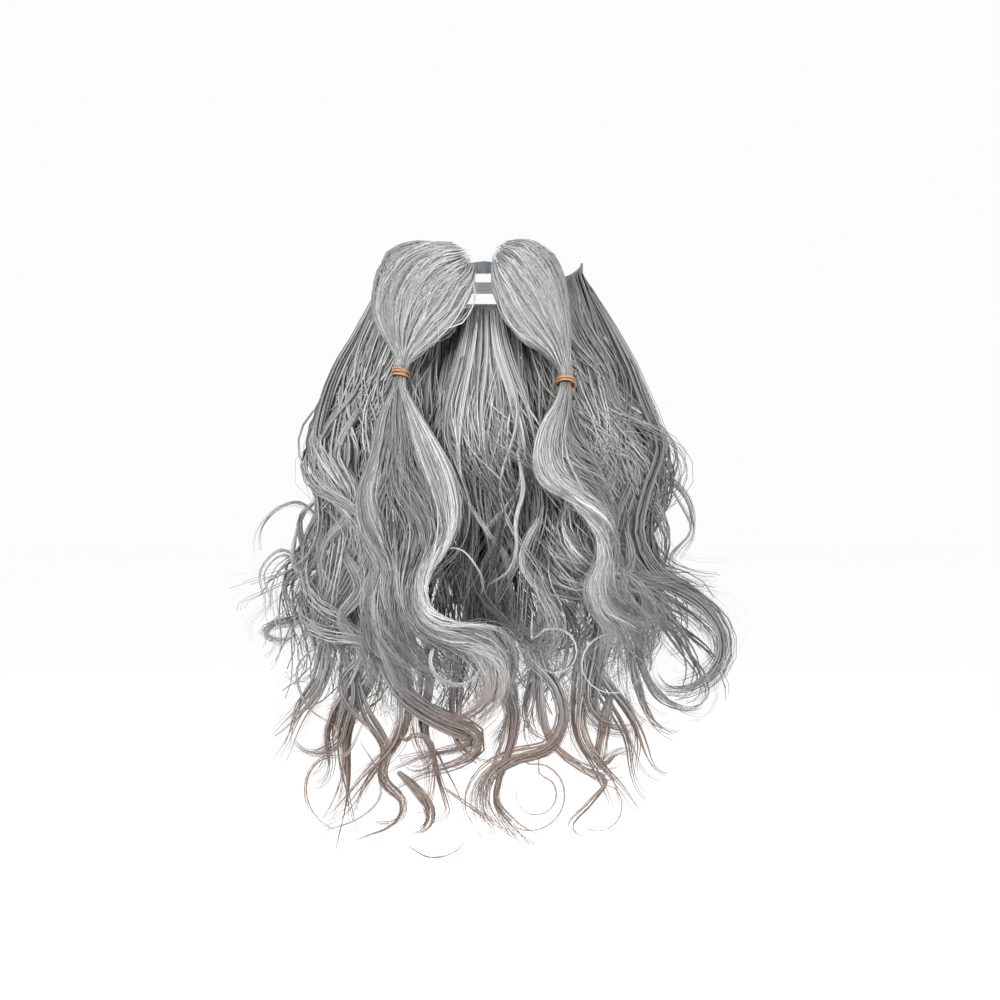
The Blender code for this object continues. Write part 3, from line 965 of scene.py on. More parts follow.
class Traced(NamedTuple):
    """A lock seen in the photograph: points of its middle and its section, in millimetres."""

    points: tuple[tuple[float, float], ...]
    width: float = 14
    layer: float = 0.05
    tone: float = 0.55
    tufts: int = 4
    strands: int = 12
    rooted: bool = False
    curl: float = 0.28
    core: float = 0.0

    def route(self, steps: int = 121) -> Route:
        """Hang the line through the points in its layer, full in the middle of its length.

        Args:
            steps: Number of places along it.

        Returns:
            The lock's route.
        """
        x, z, heading = trace(self.points, steps)
        share = np.linspace(0.0, 1.0, steps)
        fullness = (0.55 + 0.45 * smooth_step(share / 0.25)) * (1.0 - 0.5 * smooth_step((share - 0.5) / 0.5))
        half_width = 0.5 * self.width * MM * fullness
        half_thick = np.minimum(0.35 * self.width * MM * fullness, 0.5 * DRAPE.depth(z))
        root = (x[0], z[0]) if self.rooted else None
        return hang(x, z, heading, half_width, half_thick, self.layer, root)


def ring(x: float, z: float, radius: float, start: float, sweep: float) -> tuple[tuple[float, float], ...]:
    """Points round a middle, in millimetres, from a start angle over a sweep, in degrees from +X."""
    angles = np.radians(np.linspace(start, start + sweep, 2 + int(abs(sweep) // 40)))
    return tuple((x + radius * math.cos(angle), z + radius * math.sin(angle)) for angle in angles)


# After its points, a lock's numbers are its width, layer, tone, tufts and strands in a tuft, then whether it
# is rooted, its curl and its painted shade in the hollow below the chin
TRACED_LOCKS: dict[Part, tuple[Traced, ...]] = {
    Part.CHIN: (
        Traced(
            ((-4, -12), (-8, -40), (-16, -80), (-19, -115), (-14, -148), (4, -172), (22, -190),
             (31, -212), (22, -235)),
            6, 0.0, 0.74, 2, 12, True,
        ),
        Traced(
            ((5, -12), (9, -45), (20, -80), (27, -112), (25, -142), (13, -168), (0, -190)),
            6, 0.0, 0.74, 2, 12, True,
        ),
        # These three locks end with their curl and their painted shade in the hollow below the chin.
        Traced(
            ((0, -12), (0, -45), (-3, -90), (2, -130), (12, -160), (6, -192), (-6, -225), (-2, -258)),
            12, 0.0, 0.6, 4, 10, True, 0.28, 0.5,
        ),
        Traced(
            ((9, -13), (16, -50), (30, -95), (36, -130), (31, -165), (41, -200), (31, -235),
             (20, -262)),
            13, 0.05, 0.55, 4, 10, True, 0.28, 0.5,
        ),
        Traced(
            ((-9, -14), (-16, -50), (-25, -90), (-26, -130), (-18, -160), (-17, -200), (-22, -240)),
            12, 0.05, 0.52, 4, 10, True, 0.28, 0.5,
        ),
        Traced(
            ((24, -116), (29, -143), (24, -166), (24, -186), (19, -202), (4, -214)),
            6, -0.1, 0.7, 2, 10,
        ),
        Traced(
            ((-48, -210), (-39, -193), (-19, -187), (-8, -195), (2, -212), (-4, -230)),
            4, -0.2, 0.76, 1, 8,
        ),
        Traced(((40, -164), (28, -195), (43, -219), (52, -236), (30, -250)), 8, 0.0, 0.62, 2, 10),
        Traced((*ring(-20, -264, 18, 150, 240),), 6, -0.4, 0.7, 2, 8),
        Traced((*ring(-12, -266, 27, 110, -200),), 6, -0.3, 0.66, 2, 8),
        Traced(
            ((32, -200), (44, -228), (30, -258), (50, -284), (56, -308), (46, -328), (22, -334),
             (4, -344), (-5, -359), (-5, -374), (9, -390), (27, -405), (25, -414)),
            13, 0.2, 0.5, 5, 16,
        ),
        Traced(
            ((6, -235), (20, -262), (14, -285), (20, -303), (17, -326), (9, -348), (6, -366),
             (21, -387), (41, -405), (44, -413)),
            12, 0.25, 0.5, 4, 16,
        ),
        Traced(
            ((44, -262), (40, -290), (48, -324), (69, -343), (89, -353), (108, -350)),
            8, 0.3, 0.5, 3, 14,
        ),
        Traced(
            ((70, -343), (88, -354), (76, -370), (62, -386), (70, -395), (84, -390)),
            6, 0.3, 0.5, 2, 12,
        ),
        Traced(
            ((-6, -235), (4, -258), (18, -278), (22, -300), (12, -322), (4, -336)),
            12, 0.4, 0.42, 4, 12,
        ),
        Traced(((28, -330), *ring(33, -363, 24, 100, -330)), 4, 0.35, 0.62, 1, 6),
        Traced(((40, -335), *ring(38, -362, 15, 80, -300)), 3, 0.4, 0.6, 1, 5),
        Traced(((34, -228), *ring(49, -260, 17, 150, -340)), 3, 0.0, 0.75, 1, 6),
        Traced(((-30, -356), (-14, -368), (5, -382), (6, -398), (-10, -412)), 7, 0.4, 0.6, 1, 7),
        Traced(((-56, -398), (-38, -407), (-18, -400), (-10, -386), (-12, -372)), 5, 0.4, 0.62, 1, 6),
    ),
    Part.RIGHT: (
        Traced(
            ((-71, 14), (-92, -30), (-114, -75), (-120, -118), (-104, -150), (-98, -185), (-116, -212),
             (-134, -240), (-126, -262)),
            22, 0.2, 0.5, 5, 12, True,
        ),
        Traced(
            ((-68, -8), (-84, -55), (-98, -100), (-100, -140), (-86, -176), (-98, -210), (-113, -240),
             (-106, -268), (-92, -290), (-104, -312)),
            22, 0.1, 0.54, 5, 12, True,
        ),
        Traced(
            ((-52, -30), (-60, -70), (-68, -110), (-62, -150), (-72, -190), (-80, -225), (-66, -258),
             (-50, -280), (-48, -305)),
            22, 0.3, 0.46, 5, 12, True,
        ),
        Traced(
            ((-91, -85), (-104, -107), (-107, -124), (-94, -143), (-98, -162), (-114, -180),
             (-119, -201), (-103, -222)),
            12, 0.0, 0.56, 3, 10,
        ),
        Traced(
            ((-138, -172), (-141, -198), (-127, -215), (-124, -232), (-139, -246), (-161, -251)),
            8, 0.2, 0.6, 2, 9,
        ),
        Traced(
            ((-103, -188), (-90, -215), (-104, -238), (-88, -258), (-79, -279), (-60, -288)),
            11, 0.0, 0.6, 3, 10,
        ),
        Traced(
            ((-118, -256), (-136, -277), (-128, -301), (-111, -315), (-101, -329)),
            7, 0.3, 0.62, 1, 10,
        ),
        Traced(((-91, -265), (-106, -283), (-99, -302), (-80, -318), (-64, -334)), 9, 0.2, 0.56, 2, 10),
        Traced(
            ((-77, -195), (-87, -226), (-79, -258), (-53, -273), (-39, -302)),
            10, -0.1, 0.64, 2, 10,
        ),
        Traced(
            ((-104, -185), (-118, -215), (-136, -238), (-156, -244), (-163, -250), (-150, -256),
             (-128, -250)),
            10, 0.4, 0.5, 3, 12,
        ),
        Traced(
            ((-118, -170), (-140, -156), (-158, -162), (-168, -176), (-166, -200)),
            8, 0.45, 0.6, 1, 7,
        ),
        Traced(
            ((-112, -180), (-132, -196), (-150, -190), (-164, -206), (-160, -228), (-170, -244)),
            8, 0.45, 0.58, 1, 7,
        ),
        Traced(
            ((-120, -150), (-136, -166), (-133, -196), (-148, -216), (-140, -240), (-158, -262),
             (-168, -272)),
            8, 0.5, 0.56, 2, 7,
        ),
        Traced(
            ((-100, -262), (-96, -290), (-102, -312), (-108, -329), (-125, -336), (-144, -331)),
            10, 0.3, 0.45, 3, 14,
        ),
        Traced(
            ((-76, -262), (-62, -285), (-44, -300), (-22, -311), (-8, -317), (-5, -325), (-14, -333),
             (-42, -342), (-70, -355)),
            14, 0.3, 0.42, 5, 16,
        ),
        Traced(((-62, -318), *ring(-48, -332, 12, 140, -330)), 5, 0.25, 0.4, 2, 9),
        Traced(
            ((-92, -278), (-84, -305), (-70, -330), (-72, -352), (-58, -368), (-62, -382), (-84, -384)),
            9, 0.3, 0.42, 3, 14,
        ),
        Traced(((-58, -372), (-66, -384), (-82, -392), (-100, -398)), 5, 0.35, 0.5, 1, 10),
        Traced(
            ((-62, -346), (-48, -358), (-39, -369), (-38, -381), (-46, -390), (-56, -388)),
            8, 0.3, 0.4, 3, 12,
        ),
        Traced(((-86, -312), *ring(-105, -364, 25, 80, 330)), 7, 0.4, 0.7, 1, 8),
        Traced(
            ((-90, -325), (-76, -346), (-74, -366), (-92, -384), (-118, -394), (-130, -404),
             (-112, -409)),
            4, 0.4, 0.62, 1, 7,
        ),
    ),
    Part.LEFT: (
        Traced(
            ((71, 12), (94, -30), (112, -75), (124, -112), (112, -145), (106, -178), (122, -208),
             (150, -226), (172, -248), (174, -268), (158, -286), (136, -291), (126, -282), (128, -270)),
            27, 0.15, 0.4, 7, 13, True, 0.0,
        ),
        Traced(
            ((68, -8), (82, -50), (98, -95), (106, -130), (94, -165), (90, -200), (106, -230),
             (124, -250), (118, -276)),
            22, 0.2, 0.5, 5, 12, True,
        ),
        Traced(
            ((54, -34), (62, -75), (76, -115), (72, -150), (60, -185), (60, -220), (74, -250),
             (64, -280)),
            20, 0.3, 0.42, 5, 12, True,
        ),
        Traced(((57, -170), (71, -195), (77, -215), (67, -233), (82, -248)), 9, 0.0, 0.6, 2, 10),
        Traced(((138, -140), (154, -174), (138, -197), (150, -216), (164, -227)), 6, 0.3, 0.7, 2, 9),
        Traced(((102, -170), (106, -197), (99, -215), (114, -233), (130, -247)), 10, 0.0, 0.58, 3, 9),
        Traced(
            ((118, -120), (136, -134), (152, -152), (154, -176), (142, -196), (150, -212)),
            8, 0.5, 0.62, 2, 8,
        ),
        Traced(
            ((84, -240), (80, -268), (76, -296), (84, -312), (104, -318), (118, -310)),
            16, 0.3, 0.42, 4, 14,
        ),
        Traced(((92, -290), (86, -318), (84, -342), (98, -333), (113, -336)), 9, 0.4, 0.45, 2, 12),
        Traced(
            ((106, -205), (134, -214), (158, -228), (172, -248), (172, -270), (156, -287), (134, -290),
             (124, -278), (128, -262)),
            14, 0.0, 0.5, 3, 9, False, 0.0,
        ),
        Traced(
            ((110, -250), (118, -280), (132, -298), (150, -307), (162, -306), (170, -299)),
            9, 0.4, 0.52, 2, 12,
        ),
        Traced(((104, -240), *ring(91, -269, 22, 60, 330)), 4, 0.0, 0.74, 1, 7),
        Traced(((92, -345), *ring(82, -373, 18, 80, -300)), 3, 0.45, 0.6, 1, 6),
        Traced(((96, -200), (112, -225), (104, -250), (120, -268), (112, -290)), 14, 0.15, 0.55, 3, 10),
    ),
}


@dataclass(frozen=True)
class Tie:
    """A rubber band wound round the hair of a moustache half, in millimetres and degrees."""

    x: float
    z: float
    tilt: float
    hair_radius: float
    height: float
    turns: int = 4
    band: float = 0.85
    steps: int = 260
    sides: int = 9

    def middle(self, lift: np.ndarray) -> np.ndarray:
        """The middle of the hair in the tie, at heights in metres above the tie's middle.

        Args:
            lift: The heights.

        Returns:
            A point for each height.
        """
        lift = np.asarray(lift, float)
        x = self.x * MM + lift * math.tan(math.radians(self.tilt))
        z = self.z * MM + lift
        return np.stack([x, DRAPE.rest(x, z) - self.hair_radius * MM, z], -1)

    def mesh(self) -> tuple[np.ndarray, list]:
        """Points and faces of one band that winds round the hair and back on itself.

        The winding climbs and falls evenly over its whole course, so its ends meet, and
        half of it lies outside the other half, so that the turns cross.

        Returns:
            The points and the faces.
        """
        share = np.linspace(0.0, 1.0, self.steps, endpoint=False)
        angle = TURN * self.turns * share + 0.6
        climb = 0.5 * self.height * MM - self.band * MM
        lift = climb * (2.0 / math.pi) * np.arcsin(0.97 * np.sin(TURN * share))
        outer = smooth_step(0.5 + 0.9 * np.sin(TURN * share + 0.5 * math.pi))
        radius = (self.hair_radius + 0.45 + 1.0 * outer + 0.15 * np.sin(TURN * 7 * share)) * MM
        half = 0.5 * self.height * MM
        axis = self.middle(half) - self.middle(-half)
        axis /= np.linalg.norm(axis)
        first = np.cross(axis, [0.0, 1.0, 0.0])
        first /= np.linalg.norm(first)
        second = np.cross(axis, first)
        centre = self.middle(0.0) + lift[:, None] * axis
        line = centre + radius[:, None] * (np.cos(angle)[:, None] * first + np.sin(angle)[:, None] * second)
        along = np.roll(line, -1, axis=0) - np.roll(line, 1, axis=0)
        along /= np.linalg.norm(along, axis=1, keepdims=True)
        out = line - centre
        out -= (out * along).sum(1, keepdims=True) * along
        out /= np.linalg.norm(out, axis=1, keepdims=True)
        up = np.cross(along, out)
        turn = TURN * np.arange(self.sides) / self.sides
        section = out[:, None] * (0.62 * np.cos(turn))[:, None] + up[:, None] * np.sin(turn)[:, None]
        points = line[:, None] + section * self.band * MM
        index = np.arange(self.steps * self.sides).reshape(self.steps, self.sides)
        ahead, after = np.roll(index, -1, axis=0), np.roll(index, -1, axis=1)
        faces = np.stack([index, ahead, np.roll(ahead, -1, axis=1), after], axis=-1)
        return points.reshape(-1, 3), faces.reshape(-1, 4)[:, ::-1].tolist()


class SectionRow(NamedTuple):
    """The moustache at a height: its two sides and its thickness, in millimetres."""

    z: float
    side_a: float
    side_b: float
    thick: float


class Hold(Enum):
    """Where a sheaf is held together."""

    ROOTS = "roots"
    TIE_BELOW = "tie below"
    TIE_ABOVE = "tie above"


@dataclass(frozen=True)
class Laid:
    """Strands laid out as seen from the front.

    Args:
        x, z: Places of each strand at each ring.
        at: Share of the way along the guides there.
        across: Share of the way from the first guide to the last there.
        level: Each strand's level, from 0 at the back to 1 at the front.
        lift: How far coils bring each strand forwards at each ring.
        radius: Half the strand's width at each ring.
        tone: Each strand's tone at each ring.
    """

    x: np.ndarray
    z: np.ndarray
    at: np.ndarray
    across: np.ndarray
    level: np.ndarray
    lift: np.ndarray
    radius: np.ndarray
    tone: np.ndarray


def between(lines: np.ndarray, at: np.ndarray, across: np.ndarray) -> np.ndarray:
    """Places between guide lines, mixed evenly along each line and from a line to the next.

    Args:
        lines: X and Z of the guides at even steps, g x m x 2.
        at: Share of the way along the guides.
        across: Share of the way from the first guide to the last.

    Returns:
        X and Z of each place.
    """
    fine = lines.shape[1]
    place = np.clip(at, 0, 1) * (fine - 1)
    row = np.minimum(place.astype(int), fine - 2)
    guide = across * (len(lines) - 1)
    left = np.clip(guide.astype(int), 0, len(lines) - 2)
    part, part_guide = (place - row)[..., None], (guide - left)[..., None]
    near = lines[left, row] * (1 - part) + lines[left, row + 1] * part
    far = lines[left + 1, row] * (1 - part) + lines[left + 1, row + 1] * part
    return near * (1 - part_guide) + far * part_guide


@dataclass(frozen=True)
class Sheaf:
    """Hair between guide lines that run side by side.

    Args:
        guides: Lines of X and Z in millimetres, from one side of the sheaf to the other.
        strands: Number of strands.
        rings: Rings in a strand.
        bunches: Number of bunches that the strands draw into.
        tone: Middle tone.
        spread: How far a tone may be from the middle.
        radius: Half a strand's width, in millimetres.
        gather: Share by which a bunch has drawn together at its tip.
        sway: How far bunches swing off the guides, as a share of the sheaf's width.
        shortest: Share of the guides' length that the shortest bunch has.
        starts: Share of the guides' length over which the strands start.
        loose: Share of strands that belong to no bunch.
        coil: Radius of the bunches' coils at their tips, in millimetres.
        pitch: Length of guide for each turn of a coil, in millimetres.
        uncoiled: Share of the guides' length before the coils start.
        layered: Share by which a bunch keeps to one level.
        depth_shading: How much lighter the front is than the back, as painted shade on the strands behind.
        longest: Share of the guides' length that the longest bunch has.
        curl: Most degrees by which the ends of a bunch curl up.
        swing: Turns by which the coils are ahead.
        crest_highlight: How much lighter the crests of the coils are than their middles, a painted highlight
            where the coils come forwards.
        beyond: Share of the sheaf's width that strands may stray beyond its guides.
    """

    guides: tuple[tuple[tuple[float, float], ...], ...]
    strands: int
    rings: int
    bunches: int
    tone: float = 0.6
    spread: float = 0.2
    radius: float = 0.4
    gather: float = 0.7
    sway: float = 0.08
    shortest: float = 0.72
    starts: float = 0.4
    loose: float = 0.12
    coil: float = 0.0
    pitch: float = 80.0
    uncoiled: float = 0.2
    layered: float = 0.0
    depth_shading: float = 0.12
    longest: float = 1.0
    curl: float = 0.0
    swing: float = 0.0
    crest_highlight: float = 0.0
    beyond: float = 0.1

    def lay(self, lines: np.ndarray, hold: Hold, rng: np.random.Generator) -> Laid:
        """Lay the strands between the lines.

        Each strand keeps its share of the way from the first line to the last, bent by
        slow waves of its own and of its bunch.

        Args:
            lines: X and Z of the guides at even steps, in metres, g x m x 2.
            hold: Where the sheaf is held.
            rng: Random numbers.

        Returns:
            The strands as seen from the front.
        """
        count = self.strands
        bunch = rng.integers(0, self.bunches, count)

        def own(low: float, high: float) -> np.ndarray:
            """A random number for each strand."""
            return rng.uniform(low, high, count)[:, None]

        def shared(low: float, high: float) -> np.ndarray:
            """A random number for each bunch, given to each of its strands."""
            return rng.uniform(low, high, self.bunches)[bunch][:, None]

        centres = (np.arange(self.bunches) + rng.uniform(0.2, 0.8, self.bunches)) / self.bunches
        centre = centres[bunch][:, None]
        loose = (rng.random(count) < self.loose)[:, None]
        share = np.linspace(0.0, 1.0, self.rings)[None, :]
        level = own(0.0, 1.0) * (1.0 - self.layered) + shared(0.0, 1.0) * self.layered
        if hold is Hold.TIE_BELOW:
            start = own(0.0, 0.06) + own(0.0, 1.0) * self.starts * (1.0 - level)
            end = np.ones_like(start)
            drawn = 0.3 + 0.35 * share
        else:
            start = own(0.0, 1.0) * (self.starts if hold is Hold.ROOTS else 0.0)
            end = shared(self.shortest, self.longest) * own(0.93, 1.0)
            drawn = 0.15 + (self.gather - 0.15) * smooth_step(share * 2.0)
        at = start + (end - start) * share
        free = smooth_step((1.0 - at) * 3.0) if hold is Hold.TIE_BELOW else smooth_step(at * 3.0)
        spread = own(0.0, 1.0)
        across = spread + (centre - spread) * np.where(loose, 0.0, drawn)
        across = across + np.where(loose, 0.1, 0.02) * free * np.sin(
            TURN * own(0.6, 2.4) * at + own(*PHASES)
        )
        across = across + self.sway * shared(-1.0, 1.0) * free * np.sin(
            TURN * shared(0.8, 2.0) * at + shared(*PHASES)
        )

        spot = between(lines, at, np.clip(across, -self.beyond, 1.0 + self.beyond))
        if hold is Hold.TIE_BELOW:
            taper = 0.2 + 0.8 * smooth_step(share * 7)
        else:
            taper = slimming(share, 0.45)
        radius = self.radius * MM * own(0.7, 1.2) * taper * np.where(loose, 0.7, 1.0)
        tone = self.tone + self.spread * (0.6 * shared(-1, 1) + 0.4 * own(-1, 1))
        # Painted shade: strands at the back are darker, those at the front lighter.
        tone = tone + self.depth_shading * (level - 0.5)
        x, z = spot[..., 0], spot[..., 1]
        length = np.hypot(np.diff(lines[..., 0]), np.diff(lines[..., 1])).sum(1).mean()
        abreast = 0.28 * np.sin(TURN * (1.2 * centre + self.swing))
        turns = length / (self.pitch * MM) * shared(0.92, 1.08)
        ahead = abreast + self.swing + 0.2 * level
        phase = TURN * (turns * at + ahead + shared(-0.09, 0.09) + own(-0.05, 0.05))
        full = shared(0.4, 1.0) * own(0.8, 1.2) * smooth_step((at - self.uncoiled) / 0.34)
        slope = np.arctan2(np.gradient(x, axis=1), -np.gradient(z, axis=1))
        aside = self.coil * MM * full * np.sin(phase)
        x, z = x + aside * np.cos(slope), z + aside * np.sin(slope)
        way = shared(-1.0, 1.0)
        bend = np.sign(way) * (0.45 + 0.55 * np.abs(way)) * own(0.93, 1.07)
        x, z = curl_ends(x, z, share, bend * math.radians(self.curl))
        # Painted highlight on the crests of the coils, painted shade between them.
        tone = tone + self.crest_highlight * full * np.cos(phase)
        lift = 0.8 * self.coil * MM * full * np.cos(phase)
        return Laid(x, z, at, across, level, lift, radius * np.ones_like(at), tone)


SIDE_START = 85
SIDE_WIDTH = 45


@dataclass(frozen=True)
class Curtain:
    """Hair of the beard that hangs from the backing between guides.

    Args:
        sheaf: The guides and counts.
        front: Layer of its foremost strands, from 0, the front of the hanging hair, to 1.
        back: Layer of its hindmost strands.
        flatness: Thickness of a strand as a share of its width.
        band: Share of the strand map's width that each side of a strand takes.
        core: How much darker the hair gets in the hollow below the chin, as painted shade.
    """

    sheaf: Sheaf
    front: float = 0.0
    back: float = 0.6
    flatness: float = 0.62
    band: float = 0.003
    core: float = 0.0

    def comb(self, into: Strands, rng: np.random.Generator) -> None:
        """Hang the strands from the backing out to their layers, in less depth towards the sides.

        Args:
            into: Where the strands are gathered.
            rng: Random numbers.
        """
        lines = np.array([np.stack(trace(guide, GUIDE_STEPS)[:2], -1) for guide in self.sheaf.guides])
        laid = self.sheaf.lay(lines, Hold.ROOTS, rng)
        x, z = laid.x, laid.z
        steps = np.hypot(np.diff(x), np.diff(z))
        run = np.concatenate([np.zeros((len(x), 1)), np.cumsum(steps, axis=1)], axis=1)
        turn = np.arcsin(np.clip(x[:, :1] / FIT.half_width(z[:, :1]), -1.0, 1.0))
        aside = np.abs(np.sin(turn))
        rooted = rooting(run, aside)
        base = FIT.point(turn, z[:, :1], (2.6 - aside) * MM)
        depth = DRAPE.depth(z)
        layer = self.front + (self.back - self.front) * (1.0 - laid.level)
        relief = -0.07 * np.cos(TURN * self.sheaf.bunches * laid.across)
        inward = laid.radius + (layer + relief) * depth - laid.lift
        deepest = depth * (1.0 - 0.5 * smooth_step((np.abs(x) / MM - SIDE_START) / SIDE_WIDTH))
        y = DRAPE.front(x, z) + np.minimum(inward, deepest)
        y = y + (base[..., 1] - y) * rooted
        x = x + (base[..., 0] - x[:, :1]) * rooted
        # Painted shade: strands are darker in the hollow below the chin.
        tone = laid.tone - self.core * chin_shade_mask(z)
        into.add(np.stack([x, y, z], -1), laid.radius, tone, ageing(z, laid.at), self.flatness, self.band)


SIDE_RIGHT_GUIDES = (
    ((-72, 19), (-89, -18), (-112, -58), (-126, -96), (-134, -130), (-124, -160), (-126, -188),
     (-140, -213), (-143, -238), (-134, -263), (-120, -288), (-130, -314)),
    ((-68, 18), (-82, -25), (-99, -68), (-110, -106), (-103, -142), (-96, -174), (-110, -205),
     (-124, -232), (-112, -262), (-102, -290), (-115, -318), (-103, -340)),
    ((-58, 11), (-67, -35), (-79, -85), (-82, -122), (-74, -160), (-82, -193), (-96, -222), (-86, -256),
     (-74, -288), (-87, -318), (-77, -346)),
    ((-44, 6), (-47, -50), (-55, -96), (-54, -134), (-52, -172), (-64, -203), (-71, -233), (-57, -263),
     (-50, -298), (-63, -330), (-54, -356)),
    ((-22, -38), (-21, -60), (-24, -100), (-26, -138), (-27, -178), (-38, -210), (-40, -243),
     (-26, -273), (-28, -303), (-42, -334), (-34, -358)),
)
SIDE_LEFT_GUIDES = (
    ((24, -38), (26, -62), (33, -100), (42, -138), (39, -178), (44, -210), (56, -243), (52, -273),
     (44, -304), (56, -334)),
    ((44, 6), (48, -50), (60, -96), (62, -134), (54, -172), (62, -203), (77, -233), (71, -263),
     (60, -294), (73, -320), (65, -342)),
    ((58, 11), (68, -35), (83, -85), (86, -122), (76, -160), (84, -193), (100, -222), (99, -253),
     (84, -283), (91, -310), (81, -332)),
    ((67, 18), (82, -25), (99, -68), (112, -106), (108, -142), (99, -174), (111, -205), (129, -228),
     (129, -255), (110, -280), (118, -302)),
    ((72, 19), (90, -18), (113, -58), (127, -96), (138, -130), (137, -158), (127, -186), (140, -211),
     (150, -233), (154, -260), (133, -282), (139, -298)),
)
CHIN_GUIDES = (
    ((-27, -41), (-35, -70), (-42, -105), (-42, -140), (-33, -175), (-38, -205), (-40, -240),
     (-28, -270), (-26, -300), (-34, -325)),
    ((-9, -13), (-15, -55), (-20, -100), (-17, -140), (-11, -175), (-17, -205), (-14, -240), (-4, -270),
     (-2, -300), (-10, -330)),
    ((0, -12.5), (0, -55), (2, -100), (9, -140), (10, -175), (2, -205), (6, -240), (17, -270),
     (18, -304), (8, -338)),
    ((9, -13), (15, -55), (24, -100), (30, -140), (27, -175), (21, -205), (27, -240), (38, -270),
     (37, -306), (27, -338)),
    ((30, -40), (40, -70), (53, -105), (57, -140), (47, -175), (42, -205), (50, -240), (56, -270),
     (53, -300), (43, -328)),
)


@dataclass(frozen=True)
class Combing:
    """A sheaf of a moustache half and the levels it fills, from 0, its back, to 1, its front."""

    sheaf: Sheaf
    low: float = 0.0
    high: float = 1.0
    flatness: float = 0.62
    band: float = 0.003


@dataclass(frozen=True)
class Moustache:
    """Half a moustache: its wing, the tie that holds it and its tail."""

    name: str
    tie: Tie
    wing: tuple[Combing, ...]
    tail: tuple[Combing, ...]
    sections: tuple[SectionRow, ...]
    seed: int

    def section(self, z: np.ndarray) -> np.ndarray:
        """Sides and thickness at heights, with the round neck's rows among the sections.

        Args:
            z: Heights.

        Returns:
            The two sides and the thickness.
        """
        tie, slant = self.tie, math.tan(math.radians(self.tie.tilt))
        neck = []
        for rise in (0.8, 0.0, -0.8):
            lift = rise * tie.height
            middle = tie.x + lift * slant
            half = tie.hair_radius
            neck.append((tie.z + lift, middle - half, middle + half, 2 * half))
        return follow((*self.sections, *neck), z / MM) * MM

    def comb(self, into: Strands, combing: Combing, hold: Hold, rng: np.random.Generator) -> None:
        """Lay a sheaf's strands between its guides and the tie, between the back and the front.

        The depth at a point is that of an oval as wide as the moustache is there, on the
        surface that the moustache lies on.

        Args:
            into: Where the strands are gathered.
            combing: The sheaf and its levels.
            hold: Where the sheaf is held.
            rng: Random numbers.
        """
        tie, sheaf = self.tie, combing.sheaf
        neck = tie.middle(np.array([0.9, 0.25, -0.35]) * tie.height * MM)[:, (0, 2)] / MM
        lines = []
        for number, guide in enumerate(sheaf.guides):
            offset = (2.0 * number / (len(sheaf.guides) - 1) - 1.0) * 0.72 * tie.hair_radius
            pinch = [(x + offset, z) for x, z in neck]
            points = (*guide, *pinch[:2]) if hold is Hold.TIE_BELOW else (*pinch[1:], *guide)
            lines.append(np.stack(trace(points, GUIDE_STEPS)[:2], -1))
        laid = sheaf.lay(np.array(lines), hold, rng)
        x, z = laid.x, laid.z
        side_a, side_b, thick = self.section(z)
        half_width, middle = 0.5 * (side_b - side_a), 0.5 * (side_a + side_b)
        edge = np.clip((x - middle) / np.maximum(half_width, 1e-4), -1.0, 1.0)
        round_front = np.sqrt(1.0 - 0.92 * edge * edge)
        ridge = 1.0 + 0.2 * np.cos(TURN * sheaf.bunches * laid.across)
        open_out = smooth_step((half_width / MM - 6.0) / 12.0)
        under = DRAPE.rest(middle, z)
        under = under + open_out * (DRAPE.rest(x, z) - under)
        level = combing.low + (combing.high - combing.low) * laid.level**0.8
        if hold is Hold.TIE_BELOW:
            level = level * smooth_step(0.1 + 6.0 * np.linspace(0.0, 1.0, sheaf.rings))
        level = np.clip(level + 0.04 * np.sin(7 * laid.at + 6 * laid.across), 0.0, 1.0)
        y = under - 0.5 * thick * (1.0 + (2.0 * level - 1.0) * round_front * ridge)
        y = y - laid.lift * np.minimum(1.0, half_width / (20 * MM))
        age = ageing(z, np.zeros_like(z) if hold is Hold.TIE_BELOW else laid.at)
        along = np.linspace(0.0, 0.1, sheaf.rings)
        into.add(np.stack([x, y, z], -1), laid.radius, laid.tone, age + along, combing.flatness, combing.band)

    def build(self, hair: bpy.types.Material, rubber: bpy.types.Material) -> None:
        """Place the hair and the tie.

        Args:
            hair: The hair's material.
            rubber: The tie's material.
        """
        rng = np.random.default_rng(self.seed)
        strands = Strands()
        for combing in self.wing:
            self.comb(strands, combing, Hold.TIE_BELOW, rng)
        for combing in self.tail:
            self.comb(strands, combing, Hold.TIE_ABOVE, rng)
        strands.place(Piece(f"moustache_{self.name}_strands", f"moustache_{self.name}", Slot.HAIR), hair)
        Piece(f"tie_{self.name}_band", f"tie_{self.name}", Slot.RUBBER).place(*self.tie.mesh(), rubber)


RIGHT_WING_GUIDES = (
    ((-26, 35), (-50, 36), (-71, 29), (-82, 12), (-84, -8), (-77, -27), (-67, -43)),
    ((-19, 33), (-42, 32), (-62, 24), (-74, 8), (-77, -12), (-71, -31), (-64, -45)),
    ((-14, 30), (-33, 29), (-52, 21), (-65, 5), (-68, -12), (-66, -30), (-61, -46)),
    ((-11, 27), (-25, 25), (-42, 17), (-55, 2), (-59, -13), (-61, -30), (-59, -46)),
    ((-9, 24), (-18, 19), (-31, 11), (-43, -3), (-50, -17), (-55, -32), (-57, -46)),
    ((-8, 21), (-12, 12), (-21, 3), (-31, -10), (-42, -24), (-50, -36), (-56, -48)),
    ((-6, 20), (-8, 8), (-13, -3), (-21, -16), (-34, -30), (-46, -42), (-55, -53)),
    ((-4, 19), (-5, 4), (-7, -9), (-14, -23), (-29, -37), (-44, -47), (-54, -54)),
)
